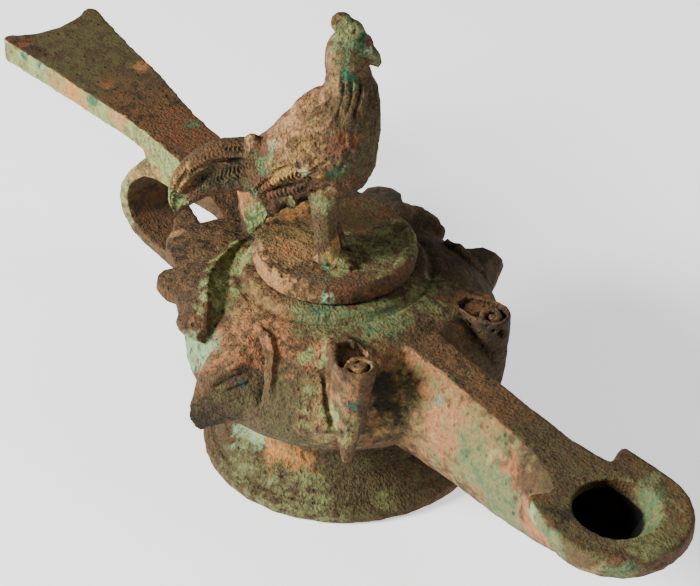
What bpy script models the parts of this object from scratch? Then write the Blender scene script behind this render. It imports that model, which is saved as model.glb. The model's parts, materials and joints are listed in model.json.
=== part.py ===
"""Cast bronze oil lamp with a cockerel standing on its lid.

Units are metres and +Z is up. The nozzle points along +X and the handle along -X. The lamp stands on z = 0, and the
middle of its whole length and breadth is on the Z axis. The helpers take millimetres measured from the axis of the
globe, which lies AXIS_X in front of the origin, and turn them into metres.

Pieces:
    lamp_body     one casting: foot, hollow globe, nozzle, scrolls, side lugs, shoulder crests, ears, ring handle
    cockerel_lid  one casting: lid disc with its locating rim, and the cockerel that stands on it
"""

import math

import bmesh
import bpy
from mathutils import Vector

MM = 0.001
AXIS_X = 8.4  # the globe's axis lies this far in front of the middle of the whole lamp

# Foot and globe
FOOT_R = 28.2
WAIST_R = 19.6
WAIST_Z = 12.4
GLOBE_R = 31.0
GLOBE_Z = 24.5
FILL_HOLE_R = 11.6

# Lid
LID_X = -3.0  # the filling hole lies a little behind the axis of the globe
LID_R = 15.0
SEAT_Z = 40.2
GAP = 0.3
LID_TOP_Z = 44.7

# Nozzle
NOZZLE_ROOT_X = 12.0
NOZZLE_TIP_X = 89.0
NECK_Y = 0.5  # the neck lies this much to +Y
END_Y = -0.8  # and the wick disc this much to -Y
TOP_Z_ROOT = 36.9
TOP_Z_END = 35.2
NOZZLE_WALL = 2.6
WICK_X = 79.4
WICK_Y = -1.1
WICK_R = 7.9
FLANGE_X = 79.2
FLANGE_R = 12.9
FLANGE_THICK = 3.4

# Handle
PLATE_END_X = -109.4
PLATE_END_HALF = 12.0
PLATE_TOP_Z = 44.7

# Cockerel
HEADING = math.radians(47.0)  # turned from the nozzle toward +Y
COCK_ORIGIN = (0.2, -2.4)  # where its middle plane crosses the lid


# ---------------------------------------------------------------- helpers


def clear_scene():
    """Remove every object of the scene."""
    for obj in list(bpy.data.objects):
        bpy.data.objects.remove(obj, do_unlink=True)


def new_collection(name):
    """Make a collection under the scene's own."""
    coll = bpy.data.collections.new(name)
    bpy.context.scene.collection.children.link(coll)
    return coll


def make_material(name, colour, roughness, metallic):
    """Make a Principled material from a linear colour."""
    mat = bpy.data.materials.new(name)
    mat.use_nodes = True
    shader = mat.node_tree.nodes["Principled BSDF"]
    shader.inputs["Base Color"].default_value = (*colour, 1.0)
    shader.inputs["Roughness"].default_value = roughness
    shader.inputs["Metallic"].default_value = metallic
    mat.diffuse_color = (*colour, 1.0)
    return mat


def place(point):
    """Turn millimetres from the globe's axis into metres from the origin."""
    return Vector(((point[0] + AXIS_X) * MM, point[1] * MM, point[2] * MM))


def lerp(a, b, t):
    """Mix two numbers."""
    return a + (b - a) * t


def read_curve(table, t):
    """Read a table of (position, value, value...) rows at t, with a smooth curve through its rows."""
    n = len(table)
    if t <= table[0][0]:
        return list(table[0][1:])
    if t >= table[-1][0]:
        return list(table[-1][1:])
    k = max(i for i in range(n - 1) if table[i][0] <= t)
    p0, p1, p2, p3 = table[max(k - 1, 0)], table[k], table[k + 1], table[min(k + 2, n - 1)]
    h = p2[0] - p1[0]
    u = (t - p1[0]) / h
    out = []
    for c in range(1, len(p1)):
        m1 = (p2[c] - p0[c]) / (p2[0] - p0[0]) * h
        m2 = (p3[c] - p1[c]) / (p3[0] - p1[0]) * h
        a = (2 * u**3 - 3 * u**2 + 1) * p1[c] + (u**3 - 2 * u**2 + u) * m1
        b = (-2 * u**3 + 3 * u**2) * p2[c] + (u**3 - u**2) * m2
        out.append(a + b)
    return out


def finish_mesh(name, bm, coll):
    """Turn a bmesh into an object with its faces pointing out."""
    bmesh.ops.remove_doubles(bm, verts=bm.verts, dist=0.00001)
    bmesh.ops.dissolve_degenerate(bm, edges=bm.edges, dist=0.000005)
    bmesh.ops.recalc_face_normals(bm, faces=bm.faces)
    mesh = bpy.data.meshes.new(name)
    bm.to_mesh(mesh)
    bm.free()
    obj = bpy.data.objects.new(name, mesh)
    coll.objects.link(obj)
    return obj


def loft(name, rings, coll):
    """Skin a row of rings that have the same number of points, and close both ends."""
    bm = bmesh.new()
    rows = [[bm.verts.new(place(p)) for p in ring] for ring in rings]
    count = len(rows[0])
    for low, high in zip(rows, rows[1:]):
        for k in range(count):
            bm.faces.new((low[k], low[(k + 1) % count], high[(k + 1) % count], high[k]))
    bm.faces.new(rows[0][::-1])
    bm.faces.new(rows[-1])
    bmesh.ops.triangulate(bm, faces=[f for f in bm.faces if len(f.verts) > 4])
    return finish_mesh(name, bm, coll)


def lathe(name, profile, centre_x, steps, coll):
    """Turn a profile of (radius, z), from the top down its outer side, round a vertical axis."""
    mesh = bpy.data.meshes.new(name)
    mesh.from_pydata(
        [(r * MM, 0.0, z * MM) for r, z in profile],
        [(k, k + 1) for k in range(len(profile) - 1)],
        [],
    )
    turned = bpy.data.objects.new(name, mesh)
    coll.objects.link(turned)
    screw = turned.modifiers.new("Turn", "SCREW")
    screw.steps = steps
    screw.render_steps = steps
    screw.use_merge_vertices = True
    screw.merge_threshold = 0.00001
    solid = bpy.data.meshes.new_from_object(turned.evaluated_get(bpy.context.evaluated_depsgraph_get()))
    bpy.data.objects.remove(turned, do_unlink=True)
    bm = bmesh.new()
    bm.from_mesh(solid)
    bmesh.ops.translate(bm, verts=bm.verts, vec=((centre_x + AXIS_X) * MM, 0.0, 0.0))
    return finish_mesh(name, bm, coll)


def slab(name, outline, thickness, place_point, coll):
    """Make a flat outline into a plate. place_point turns (u, v, w) into a point in millimetres."""
    bm = bmesh.new()
    low = [bm.verts.new(place(place_point(u, v, -thickness / 2))) for u, v in outline]
    high = [bm.verts.new(place(place_point(u, v, thickness / 2))) for u, v in outline]
    count = len(outline)
    for k in range(count):
        bm.faces.new((low[k], low[(k + 1) % count], high[(k + 1) % count], high[k]))
    bm.faces.new(low[::-1])
    bm.faces.new(high)
    return finish_mesh(name, bm, coll)


def ball(name, centre, radii, axes, coll, segments=16, rings=10):
    """Make an ellipsoid. axes are three unit vectors that its radii lie along."""
    bm = bmesh.new()
    bmesh.ops.create_uvsphere(bm, u_segments=segments, v_segments=rings, radius=1.0)
    for vert in bm.verts:
        local = vert.co.copy()
        point = Vector(centre)
        for amount, radius, axis in zip(local, radii, axes):
            point = point + Vector(axis) * (amount * radius)
        vert.co = place(point)
    return finish_mesh(name, bm, coll)


def hull(name, points, coll):
    """Wrap a closed convex skin round points."""
    bm = bmesh.new()
    verts = [bm.verts.new(place(p)) for p in points]
    result = bmesh.ops.convex_hull(bm, input=verts)
    spare = [g for g in result["geom_interior"] + result["geom_unused"] if isinstance(g, bmesh.types.BMVert)]
    bmesh.ops.delete(bm, geom=list(set(spare)), context="VERTS")
    return finish_mesh(name, bm, coll)


def join_or_cut(target, tool, operation):
    """Add a Boolean to target, and hide the tool."""
    mod = target.modifiers.new(tool.name, "BOOLEAN")
    mod.operation = operation
    mod.solver = "MANIFOLD"
    mod.object = tool
    tool.hide_render = True
    tool.display_type = "WIRE"


def add(target, tool):
    """Join a tool to its target."""
    join_or_cut(target, tool, "UNION")


def cut(target, tool):
    """Cut a tool out of its target."""
    join_or_cut(target, tool, "DIFFERENCE")


# ---------------------------------------------------------------- lamp body


def globe_profile():
    """Outer side of foot and globe, from the shoulder down to the middle of the underside."""
    shoulder = [(0.0, 38.9), (17.0, 38.8), (20.6, 38.0), (23.6, 36.7), (26.3, 34.7), (28.5, 31.8), (30.2, 28.4)]
    belly = [(GLOBE_R, GLOBE_Z), (30.5, 21.4), (28.7, 18.7), (25.8, 16.6), (22.6, 15.2), (20.4, 14.0)]
    foot = [(WAIST_R, WAIST_Z), (19.9, 10.4), (21.4, 7.9), (23.6, 5.6), (25.6, 4.2), (26.9, 3.3), (27.2, 2.8)]
    rim = [(FOOT_R, 2.2), (FOOT_R, 0.5), (27.7, 0.0), (0.0, 0.0)]
    return shoulder + belly + foot + rim


def cavity_profile():
    """Inside of the globe, one wall in from its outside."""
    top = [(0.0, 36.0), (17.2, 35.6), (20.2, 34.7), (22.8, 33.2), (25.2, 30.8), (27.2, 27.6)]
    low = [(28.3, 24.4), (27.4, 21.9), (25.2, 19.9), (21.8, 18.3), (17.4, 17.4), (0.0, 17.0)]
    return top + low


def nozzle_size(x):
    """Half widths and heights of the nozzle at x: top half width, side half width, top z, bottom z."""
    table = [
        (NOZZLE_ROOT_X, 10.5, 15.0, 14.6),
        (16.0, 6.8, 13.6, 14.0),
        (20.0, 4.6, 12.0, 13.4),
        (25.0, 3.6, 10.0, 12.8),
        (31.0, 3.4, 8.6, 12.6),
        (38.0, 3.4, 8.0, 12.9),
        (47.0, 3.4, 8.0, 13.6),
        (56.0, 3.6, 8.6, 14.8),
        (63.0, 4.2, 8.9, 16.9),
        (70.0, 6.4, 9.3, 19.9),
        (76.0, 8.2, 9.6, 22.8),
        (82.0, 8.4, 9.2, 25.9),
        (86.0, 6.8, 7.4, 28.4),
        (NOZZLE_TIP_X, 3.8, 4.4, 30.6),
    ]
    half_top, half_side, bottom = read_curve(table, x)
    slope = (TOP_Z_END - TOP_Z_ROOT) / (WICK_X - 22.0)
    top = TOP_Z_ROOT + slope * (x - 22.0)
    if x < 22.0:
        top += 0.014 * (22.0 - x) ** 2
    if x > 74.0:
        top -= min(2.0, 0.5 * (x - 74.0))
    return half_top, half_side, top, bottom


def nozzle_middle(x):
    """Y of the nozzle's middle line at x."""
    table = [(12.0, 0.0), (24.0, NECK_Y), (58.0, NECK_Y), (76.0, END_Y), (90.0, END_Y)]
    return read_curve(table, x)[0]


def nozzle_ring(x, inset=0.0):
    """One cross-section: flat top with sharp edges, sides that swell out and close in a round keel."""
    half_top, half_side, top, bottom = nozzle_size(x)
    top, bottom = top - inset, bottom + inset
    half_side = half_side - inset
    half_top = min(max(half_top - inset, 1.4), half_side)
    middle = bottom + 0.5 * (top - bottom)
    steps = 4
    side = []
    for k in range(steps):
        t = k / steps
        width = half_top + (half_side - half_top) * math.sin(0.5 * math.pi * t) ** 0.85
        side.append((width, lerp(top, middle, t)))
    for k in range(steps):
        angle = 0.5 * math.pi * k / steps
        side.append((half_side * math.cos(angle), middle - (middle - bottom) * math.sin(angle)))
    shift = nozzle_middle(x)
    right = [(x, shift + y, z) for y, z in side]
    left = [(x, shift - y, z) for y, z in reversed(side)]
    return right + [(x, shift, bottom)] + left


def flange_outline():
    """Spade outline of the nozzle's end, with a barb on each side of the neck."""
    half = [(63.0, 3.6), (66.4, 4.6), (68.6, 5.8), (69.2, 7.0), (68.4, 8.8), (67.7, 10.4), (68.3, 11.3)]
    half += [(70.8, 12.0), (74.2, 12.6), (77.4, 12.8)]
    steps = 8
    for k in range(steps):
        angle = math.radians(88.0 * (1.0 - k / steps))
        reach = FLANGE_R + 0.5 * max(0.0, math.cos(angle)) ** 2
        half.append((FLANGE_X + reach * math.cos(angle), reach * math.sin(angle)))
    mirrored = [(x, -y) for x, y in reversed(half)]
    outline = half + [(FLANGE_X + FLANGE_R + 0.5, 0.0)] + mirrored
    return [(x, y + lerp(NECK_Y, END_Y, min(1.0, (x - 63.0) / 8.0))) for x, y in outline]


def spiral_outline():
    """Top outline of a scroll that rolls off the shoulder, round the point it is rolled on."""
    table = [
        (0.0, -10.4, -0.4),
        (1.0, -8.4, -1.0),
        (2.0, -6.2, -2.1),
        (3.0, -3.8, -3.4),
        (4.0, -0.8, -4.1),
        (5.0, 1.9, -2.9),
        (6.0, 3.1, -0.4),
        (7.0, 2.6, 2.1),
        (8.0, 0.6, 3.8),
        (9.0, -2.6, 4.1),
        (10.0, -6.2, 3.9),
        (11.0, -10.0, 3.8),
    ]
    return [tuple(read_curve(table, k * 11 / 16)) for k in range(17)]


def build_scroll(side, top, main, tools):
    """Scroll beside the nozzle: rolled sheet that tapers to a point, hollow between its wall and its curl."""
    top_x, top_y, top_z = top
    tip_x, tip_y, tip_z = 25.0, 17.8, 17.9
    rings = []
    for t in (0.0, 0.06, 0.3, 0.55, 0.75, 0.9, 1.0):
        size = max(0.22, (1.0 - t) ** 0.52) if t else 0.94
        cx, cy, cz = lerp(top_x, tip_x, t), lerp(top_y, tip_y, t), lerp(top_z, tip_z, t)
        rings.append([(cx + u * size, side * (cy - v * size), cz) for u, v in spiral_outline()])
    add(main, loft(f"scroll_{side:+d}", rings, tools))

    hollow = [(-7.0, 3.2), (-7.5, 0.6), (-6.0, -0.7), (-4.2, -1.9), (-2.4, -2.9), (-0.6, -3.3), (-1.2, -2.5)]
    hollow += [(-2.3, -1.2), (-2.6, 0.3), (-2.1, 1.7), (-0.9, 2.6), (-2.4, 3.5), (-4.8, 3.6)]
    cutter = slab(
        f"scroll_hollow_{side:+d}",
        hollow,
        9.0,
        lambda u, v, w: (top_x + u, side * (top_y - v), top_z + w),
        tools,
    )
    cut(main, cutter)

    turns = 13
    inner, outer = [], []
    for k in range(turns):
        angle = math.radians(250.0 + 34.0 * k)
        reach, half = lerp(2.3, 0.7, k / (turns - 1)), lerp(0.42, 0.3, k / (turns - 1))
        inner.append((0.2 + (reach - half) * math.cos(angle), 0.1 + (reach - half) * math.sin(angle)))
        outer.append((0.2 + (reach + half) * math.cos(angle), 0.1 + (reach + half) * math.sin(angle)))
    cutter = slab(
        f"scroll_groove_{side:+d}",
        outer + inner[::-1],
        3.0,
        lambda u, v, w: (top_x + u, side * (top_y - v), top_z + w),
        tools,
    )
    cut(main, cutter)


def crest_station(angle):
    """Shoulder crest at an angle from the nozzle: root, ridge and outer radius, outer z, ridge z."""
    table = [
        (101.0, 28.0, 28.9, 30.8, 34.0, 34.8),
        (103.0, 26.6, 28.0, 32.2, 34.4, 36.6),
        (105.5, 24.8, 27.5, 33.3, 34.7, 38.0),
        (109.5, 23.4, 27.0, 33.2, 34.9, 39.0),
        (113.5, 22.7, 26.5, 32.4, 35.1, 39.4),
        (117.5, 22.2, 26.1, 32.4, 35.2, 39.6),
        (121.5, 22.0, 25.7, 32.6, 35.3, 39.6),
        (124.0, 21.9, 25.5, 34.8, 35.3, 39.6),
        (128.0, 21.8, 25.2, 36.2, 35.3, 39.6),
        (132.5, 21.7, 24.8, 36.4, 35.3, 39.5),
        (135.5, 21.7, 24.5, 35.6, 35.3, 39.5),
        (137.5, 21.7, 24.3, 33.3, 35.3, 39.4),
        (141.0, 21.7, 24.1, 34.9, 35.4, 39.3),
        (146.0, 21.9, 23.9, 37.2, 35.5, 39.1),
        (151.0, 22.1, 23.7, 38.7, 35.6, 38.9),
        (156.0, 22.1, 23.3, 39.2, 35.6, 38.7),
        (161.0, 22.0, 22.9, 40.4, 35.7, 38.5),
    ]
    return read_curve(table, angle)


def shoulder_z(radius):
    """Height of the globe's shoulder at a radius."""
    table = [(17.0, 38.9), (20.6, 38.0), (23.6, 36.7), (26.3, 34.7), (28.5, 31.8), (30.2, 28.4)]
    return read_curve(table, radius)[0]


def build_crest(side, main, tools):
    """Lobed crest that stands on the shoulder between the side lug and the handle, and ends in a horn."""
    rings = []
    angles = (101, 103, 105.5, 109.5, 113.5, 117.5, 121.5, 124, 128, 132.5, 135.5, 137.5, 141, 146, 151, 156, 161)
    for angle in angles:
        r_in, ridge_r, r_out, z_out, ridge_z = crest_station(angle)
        if side > 0 and angle < 123:
            r_out = max(r_out - (2.2 if angle < 115 else 1.0), ridge_r + 1.3)
        root = shoulder_z(r_in)
        profile = [
            (r_in - 1.5, root - 3.0),
            (r_in, root - 0.4),
            (ridge_r - 0.4, ridge_z - 0.5),
            (ridge_r, ridge_z),
            (lerp(ridge_r, r_out, 0.5), lerp(ridge_z, z_out, 0.5) + 0.45),
            (r_out - 0.4, z_out + 0.5),
            (r_out, z_out - 0.6),
            (r_out - 0.9, z_out - 2.2),
            (lerp(r_in, r_out, 0.5), z_out - 2.6),
            (r_in, root - 6.0),
        ]
        turn = math.radians(angle)
        rings.append([(r * math.cos(turn), side * r * math.sin(turn), z) for r, z in profile])
    add(main, loft(f"crest_{side:+d}", rings, tools))
    horn = [
        (-36.0, 15.6, 35.9),
        (-38.8, 13.6, 35.9),
        (-40.4, 10.8, 35.9),
        (-40.8, 9.2, 35.6),
        (-36.8, 9.9, 36.4),
        (-34.4, 10.7, 36.7),
        (-30.0, 14.0, 37.0),
        (-36.2, 15.1, 32.9),
        (-40.2, 10.6, 33.3),
        (-34.6, 10.9, 32.6),
        (-30.0, 13.8, 32.1),
    ]
    add(main, hull(f"crest_horn_{side:+d}", [(x, side * y, z) for x, y, z in horn], tools))
    web = [
        (-33.4, 8.2, 36.4),
        (-33.6, 10.6, 36.7),
        (-30.0, 14.6, 37.3),
        (-21.5, 9.2, 38.4),
        (-21.0, 4.1, 37.9),
        (-33.0, 4.3, 35.9),
        (-33.4, 8.2, 32.7),
        (-33.5, 10.4, 32.3),
        (-28.0, 14.3, 31.0),
        (-23.6, 4.1, 30.2),
    ]
    add(main, hull(f"crest_web_{side:+d}", [(x, side * y, z) for x, y, z in web], tools))


def tube(name, path, radii, coll, sides=8):
    """Skin a round tube along a path of points, with a radius for each."""
    rings = []
    for k, point in enumerate(path):
        here = Vector(point)
        ahead = Vector(path[min(k + 1, len(path) - 1)]) - Vector(path[max(k - 1, 0)])
        ahead.normalize()
        across = ahead.cross(Vector((0.3, 0.1, 1.0))).normalized()
        above = across.cross(ahead)
        ring = []
        for j in range(sides):
            turn = 2 * math.pi * j / sides
            ring.append(tuple(here + (across * math.cos(turn) + above * math.sin(turn)) * radii[k]))
        rings.append(ring)
    return loft(name, rings, coll)


def build_lug(side, main, tools):
    """Leaf-like lug on the flank: a slope down to a ridge, a steep front, a blunt beak and a curled lip."""
    if side < 0:
        upper = [(-4.6, 26.0, 33.6), (2.3, 22.6, 37.0), (-1.7, 29.0, 32.6), (-1.0, 31.0, 31.4), (0.8, 34.6, 29.9)]
        ridge = [(4.0, 34.3, 30.3), (5.9, 30.4, 33.6), (6.6, 26.6, 34.2)]
        outer = [(1.5, 35.3, 28.9), (1.5, 36.3, 26.4), (1.6, 37.1, 24.7), (1.9, 37.4, 22.6), (2.7, 36.9, 20.8)]
        low = [(3.4, 36.0, 20.0), (2.3, 34.0, 19.2), (2.0, 31.0, 19.8), (3.8, 30.4, 20.4), (8.4, 29.4, 23.0)]
        right = [(10.6, 27.6, 28.0), (8.6, 26.6, 31.8), (-3.0, 27.0, 25.0)]
    else:
        upper = [(-4.0, 27.0, 31.0), (-3.0, 28.6, 30.6), (-0.8, 31.4, 30.2), (0.0, 34.2, 30.9), (-0.8, 34.8, 30.0)]
        ridge = [(3.6, 34.6, 31.2), (5.6, 30.6, 31.8), (6.6, 26.6, 32.8)]
        outer = [(1.6, 36.0, 29.8), (4.0, 36.2, 29.3), (4.0, 36.6, 27.4), (3.0, 37.4, 27.0), (1.8, 37.2, 25.6)]
        low = [(1.2, 36.0, 24.6), (1.0, 34.0, 24.2), (1.0, 31.0, 24.0), (3.8, 30.4, 23.6), (8.4, 29.2, 24.6)]
        right = [(10.6, 27.6, 28.0), (8.6, 26.6, 31.8), (-3.0, 27.0, 25.0)]
    points = upper + ridge + outer + low + right
    add(main, hull(f"lug_{side:+d}", [(x, side * y, z) for x, y, z in points], tools))
    slide = 0.0 if side < 0 else 1.0
    path = [(3.0, 22.7, 37.0), (5.8, 23.3, 36.4), (8.8, 24.1, 34.7), (10.8, 25.8, 31.8), (11.6, 27.7, 28.2)]
    path = [(x - 2.0 * slide, side * (y + 1.2 * slide), z) for x, y, z in path]
    lip = tube(f"lug_lip_{side:+d}", path, [0.7, 1.3, 1.5, 1.3, 0.6], tools, 6)
    add(main, lip)


def build_ear(side, main, tools):
    """Leaf-shaped ear that stands at the root of the handle, behind the lid."""
    spine = [(-28.4, 4.9, 44.6), (-26.4, 5.6, 44.2), (-24.8, 6.2, 41.0), (-24.2, 6.2, 37.0)]
    left = [(-29.8, 3.9, 42.6), (-30.4, 3.6, 39.4), (-29.4, 3.6, 36.0), (-26.6, 4.0, 33.6)]
    right = [(-25.8, 3.2, 45.4), (-22.0, 3.0, 45.2), (-20.3, 3.2, 42.6), (-21.4, 3.4, 39.6), (-23.0, 4.0, 36.0)]
    points = spine + left + right
    add(main, hull(f"ear_{side:+d}", [(x, side * y, z) for x, y, z in points], tools))


def build_handle(main, tools):
    """Thumb plate with a flaring, hollow-ended outline, and the ring of flat strap under it."""
    table = [
        (PLATE_END_X, PLATE_END_HALF),
        (-104.0, 11.1),
        (-98.0, 10.3),
        (-89.0, 9.1),
        (-80.0, 8.1),
        (-72.0, 6.9),
        (-64.0, 6.0),
        (-50.0, 5.9),
        (-40.0, 5.7),
        (-22.0, 5.2),
    ]
    stations = [lerp(PLATE_END_X + 1.8, -22.0, k / 11) for k in range(12)]
    edge = [(x, read_curve(table, x)[0]) for x in stations]
    corner = [(PLATE_END_X + 0.5, PLATE_END_HALF - 0.7), (PLATE_END_X, PLATE_END_HALF - 1.8)]
    corner += [(PLATE_END_X + 0.4, PLATE_END_HALF - 3.0)]
    hollow = [(PLATE_END_X + lerp(3.4, 0.9, (y / 8.6) ** 2), y) for y in (8.0, 5.4, 2.7)]
    half = edge[::-1] + corner + hollow
    left = [(x, y + 1.1 * math.exp(-(((x + 74.0) / 16.0) ** 2))) for x, y in half]
    right = [(x, -y) for x, y in reversed(half)]
    outline = left + [(PLATE_END_X + 3.4, 0.0)] + right
    plan = slab("handle_plan", outline, 60.0, lambda u, v, w: (u, v, 30.0 + w), tools)
    top = [(-112.0, PLATE_TOP_Z + 0.1), (-80.0, 43.2), (-60.0, 42.2), (-49.0, 41.6), (-43.5, 40.8), (-38.5, 39.2)]
    top += [(-33.5, 36.8), (-28.0, 35.2), (-18.0, 34.0)]
    neck = [(-18.0, 27.0), (-26.0, 30.6), (-32.0, 33.4), (-36.4, 34.6), (-42.8, 34.2), (-49.0, 33.4)]
    ring_in = [(-55.0, 32.8), (-59.0, 32.0), (-62.6, 30.6), (-65.6, 28.4), (-67.8, 25.8), (-69.0, 23.0)]
    ring_in += [(-68.8, 20.2), (-67.6, 18.0), (-65.2, 16.5), (-61.0, 15.7), (-54.0, 15.4), (-44.0, 15.7)]
    ring_in += [(-34.0, 16.8), (-22.0, 18.6)]
    ring_out = [(-22.0, 15.6), (-34.0, 14.0), (-44.0, 13.1), (-54.0, 12.8), (-61.0, 13.0), (-65.8, 13.9)]
    ring_out += [(-69.2, 15.6), (-71.0, 18.4), (-71.4, 21.6), (-70.8, 24.7), (-69.1, 27.7), (-66.5, 30.8)]
    ring_out += [(-63.6, 33.8), (-61.4, 36.0), (-62.0, 37.6)]
    low = [(-68.0, 38.0), (-80.0, 38.6), (-95.0, 39.1), (-112.0, 39.5)]
    outline = top + neck + ring_in + ring_out + low
    side_view = slab("handle_side", outline, 60.0, lambda u, v, w: (u, w, v), tools)
    join_or_cut(plan, side_view, "INTERSECT")
    add(main, plan)


def build_nozzle(main, tools):
    """Nozzle pipe and its spade-shaped end."""
    stations = (12.0, 15.0, 18.0, 21.5, 26.0, 32.0, 41.0, 51.0, 60.0, 66.0, 71.0, 77.0, 82.0, 86.0, 89.0)
    add(main, loft("nozzle_pipe", [nozzle_ring(x) for x in stations], tools))

    flange = slab(
        "nozzle_flange",
        flange_outline(),
        FLANGE_THICK,
        lambda u, v, w: (u, v, TOP_Z_END - FLANGE_THICK / 2 + w - 0.03 * (u - FLANGE_X)),
        tools,
    )
    bevel = flange.modifiers.new("Soft edges", "BEVEL")
    bevel.width = 0.5 * MM
    bevel.segments = 1
    bevel.limit_method = "ANGLE"
    bevel.angle_limit = math.radians(60.0)
    add(main, flange)

    rings = []
    for z, reach in ((32.6, 12.0), (31.4, 12.7), (29.6, 12.0), (27.6, 9.0)):
        circle = []
        for k in range(20):
            angle = 2 * math.pi * k / 20
            circle.append((FLANGE_X - 0.2 + reach * math.cos(angle), END_Y + reach * math.sin(angle), z))
        rings.append(circle)
    add(main, loft("nozzle_bowl", rings, tools))


def build_hollows(main, tools):
    """Reservoir, filling hole, nozzle channel, wick hole and the hollow of the foot."""
    cut(main, lathe("reservoir", cavity_profile(), 0.0, 24, tools))
    hole = [(0.0, 44.0), (FILL_HOLE_R, 44.0), (FILL_HOLE_R, 34.0), (0.0, 34.0)]
    cut(main, lathe("filling_hole", hole, LID_X, 24, tools))
    foot = [(0.0, 13.6), (13.0, 13.2), (16.2, 11.8), (17.6, 9.4), (20.4, 4.6), (22.6, 0.9), (22.8, -1.0), (0.0, -1.0)]
    cut(main, lathe("foot_hollow", foot, 0.0, 24, tools))

    rings = [nozzle_ring(x, NOZZLE_WALL) for x in (14.0, 22.0, 30.0, 40.0, 52.0, 62.0, 69.0, 75.0, 80.0)]
    cut(main, loft("nozzle_channel", rings, tools))

    rings = []
    for z, x, reach in ((37.5, 0.9, 9.2), (35.2, 0.0, WICK_R), (32.4, -1.6, 7.2), (29.6, -3.6, 6.3), (27.0, -4.6, 5.4)):
        circle = []
        for k in range(24):
            angle = 2 * math.pi * k / 24
            circle.append((WICK_X + x + reach * math.cos(angle), WICK_Y + 0.96 * reach * math.sin(angle), z))
        rings.append(circle)
    cut(main, loft("wick_hole", rings, tools))


def build_body(coll, tools):
    """The lamp's own casting."""
    body = lathe("lamp_body", globe_profile(), 0.0, 32, coll)
    collar = [(0.0, SEAT_Z), (15.7, SEAT_Z), (16.5, 39.7), (17.6, 38.9), (19.8, 37.9), (21.8, 36.4), (21.8, 34.5)]
    add(body, lathe("seat_collar", collar + [(0.0, 34.5)], LID_X, 28, tools))
    build_nozzle(body, tools)
    for side, scroll_top in ((-1, (25.3, 15.4, 39.3)), (1, (25.7, 15.7, 37.4))):
        build_scroll(side, scroll_top, body, tools)
        build_crest(side, body, tools)
        build_lug(side, body, tools)
        build_ear(side, body, tools)
    build_handle(body, tools)
    build_hollows(body, tools)
    return body


# ---------------------------------------------------------------- cockerel and lid


def cock_point(s, n, z):
    """Point of the cockerel: s forward, n to its left, z up."""
    c, d = math.cos(HEADING), math.sin(HEADING)
    return (COCK_ORIGIN[0] + s * c - n * d, COCK_ORIGIN[1] + s * d + n * c, z)


def cock_ring(s, z, tilt, half_deep, half_wide, count=18):
    """Round section of the cockerel across its spine. tilt is the spine's angle above the horizontal."""
    a = math.radians(tilt)
    ring = []
    for k in range(count):
        t = 2 * math.pi * k / count
        deep, wide = half_deep * math.cos(t), half_wide * math.sin(t)
        ring.append(cock_point(s - deep * math.sin(a), wide, z + deep * math.cos(a)))
    return ring


def build_trunk(lid, tools):
    """Trunk, neck and head in one skin along the spine."""
    table = [
        (0.0, -18.0, 62.5, 12.0, 1.4, 1.1),
        (1.0, -16.2, 63.5, 14.0, 3.5, 2.7),
        (2.0, -13.2, 63.9, 18.0, 5.0, 4.3),
        (3.0, -9.6, 64.6, 26.0, 6.5, 5.7),
        (4.0, -5.8, 66.5, 38.0, 8.0, 6.7),
        (5.0, -1.9, 68.9, 52.0, 9.0, 7.2),
        (6.0, 0.1, 72.4, 66.0, 8.7, 7.0),
        (7.0, 1.3, 76.1, 74.0, 7.6, 6.3),
        (8.0, 2.7, 79.2, 84.0, 5.7, 5.2),
        (9.0, 3.0, 82.2, 90.0, 4.6, 4.2),
        (10.0, 2.4, 85.0, 92.0, 4.0, 3.6),
        (11.0, 2.4, 87.7, 88.0, 4.1, 3.4),
        (12.0, 2.9, 90.2, 80.0, 3.8, 2.9),
        (13.0, 3.6, 92.2, 74.0, 2.5, 1.8),
        (14.0, 3.9, 93.1, 72.0, 0.9, 0.8),
    ]
    rings = []
    for k in range(22):
        s, z, tilt, deep, wide = read_curve(table, 14.0 * k / 21)
        rings.append(cock_ring(s, z, tilt, deep, wide, 14))
    add(lid, loft("trunk", rings, tools))
    ahead = Vector((math.cos(HEADING), math.sin(HEADING), 0))
    across = Vector((-math.sin(HEADING), math.cos(HEADING), 0))
    axes = (ahead, across, Vector((0, 0, 1)))
    add(lid, ball("breast", cock_point(0.8, 0.0, 68.4), (7.4, 6.3, 10.5), axes, tools, 12, 8))


def build_head(lid, tools):
    """Beak, comb and wattles."""
    rings = []
    for s, z, deep, wide in ((4.0, 88.8, 2.6, 2.2), (6.2, 88.0, 2.0, 1.7), (7.5, 86.9, 1.4, 1.2), (8.3, 85.9, 0.6, 0.5)):
        rings.append(cock_ring(s, z, -35.0, deep, wide, 8))
    add(lid, loft("beak", rings, tools))
    comb = [
        (0.8, 90.4),
        (0.3, 92.2),
        (-0.4, 93.4),
        (-0.6, 94.5),
        (-0.2, 95.3),
        (0.7, 95.8),
        (1.9, 96.0),
        (2.7, 95.5),
        (3.3, 94.6),
        (4.0, 94.5),
        (4.9, 93.9),
        (5.4, 92.8),
        (5.8, 91.9),
        (6.6, 91.3),
        (7.1, 90.2),
        (7.2, 88.6),
        (4.6, 88.4),
    ]
    plate = slab("comb", comb, 2.0, lambda u, v, w: cock_point(u, w, v), tools)
    bevel = plate.modifiers.new("Soft edges", "BEVEL")
    bevel.width = 0.4 * MM
    bevel.segments = 1
    add(lid, plate)
    ahead = Vector((math.cos(HEADING), math.sin(HEADING), 0))
    across = Vector((-math.sin(HEADING), math.cos(HEADING), 0))
    for side in (-1, 1):
        axes = (ahead, across, Vector((0, 0, 1)))
        add(lid, ball(f"wattle_{side:+d}", cock_point(4.6, side * 2.0, 85.3), (1.5, 1.2, 2.0), axes, tools, 8, 5))


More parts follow.
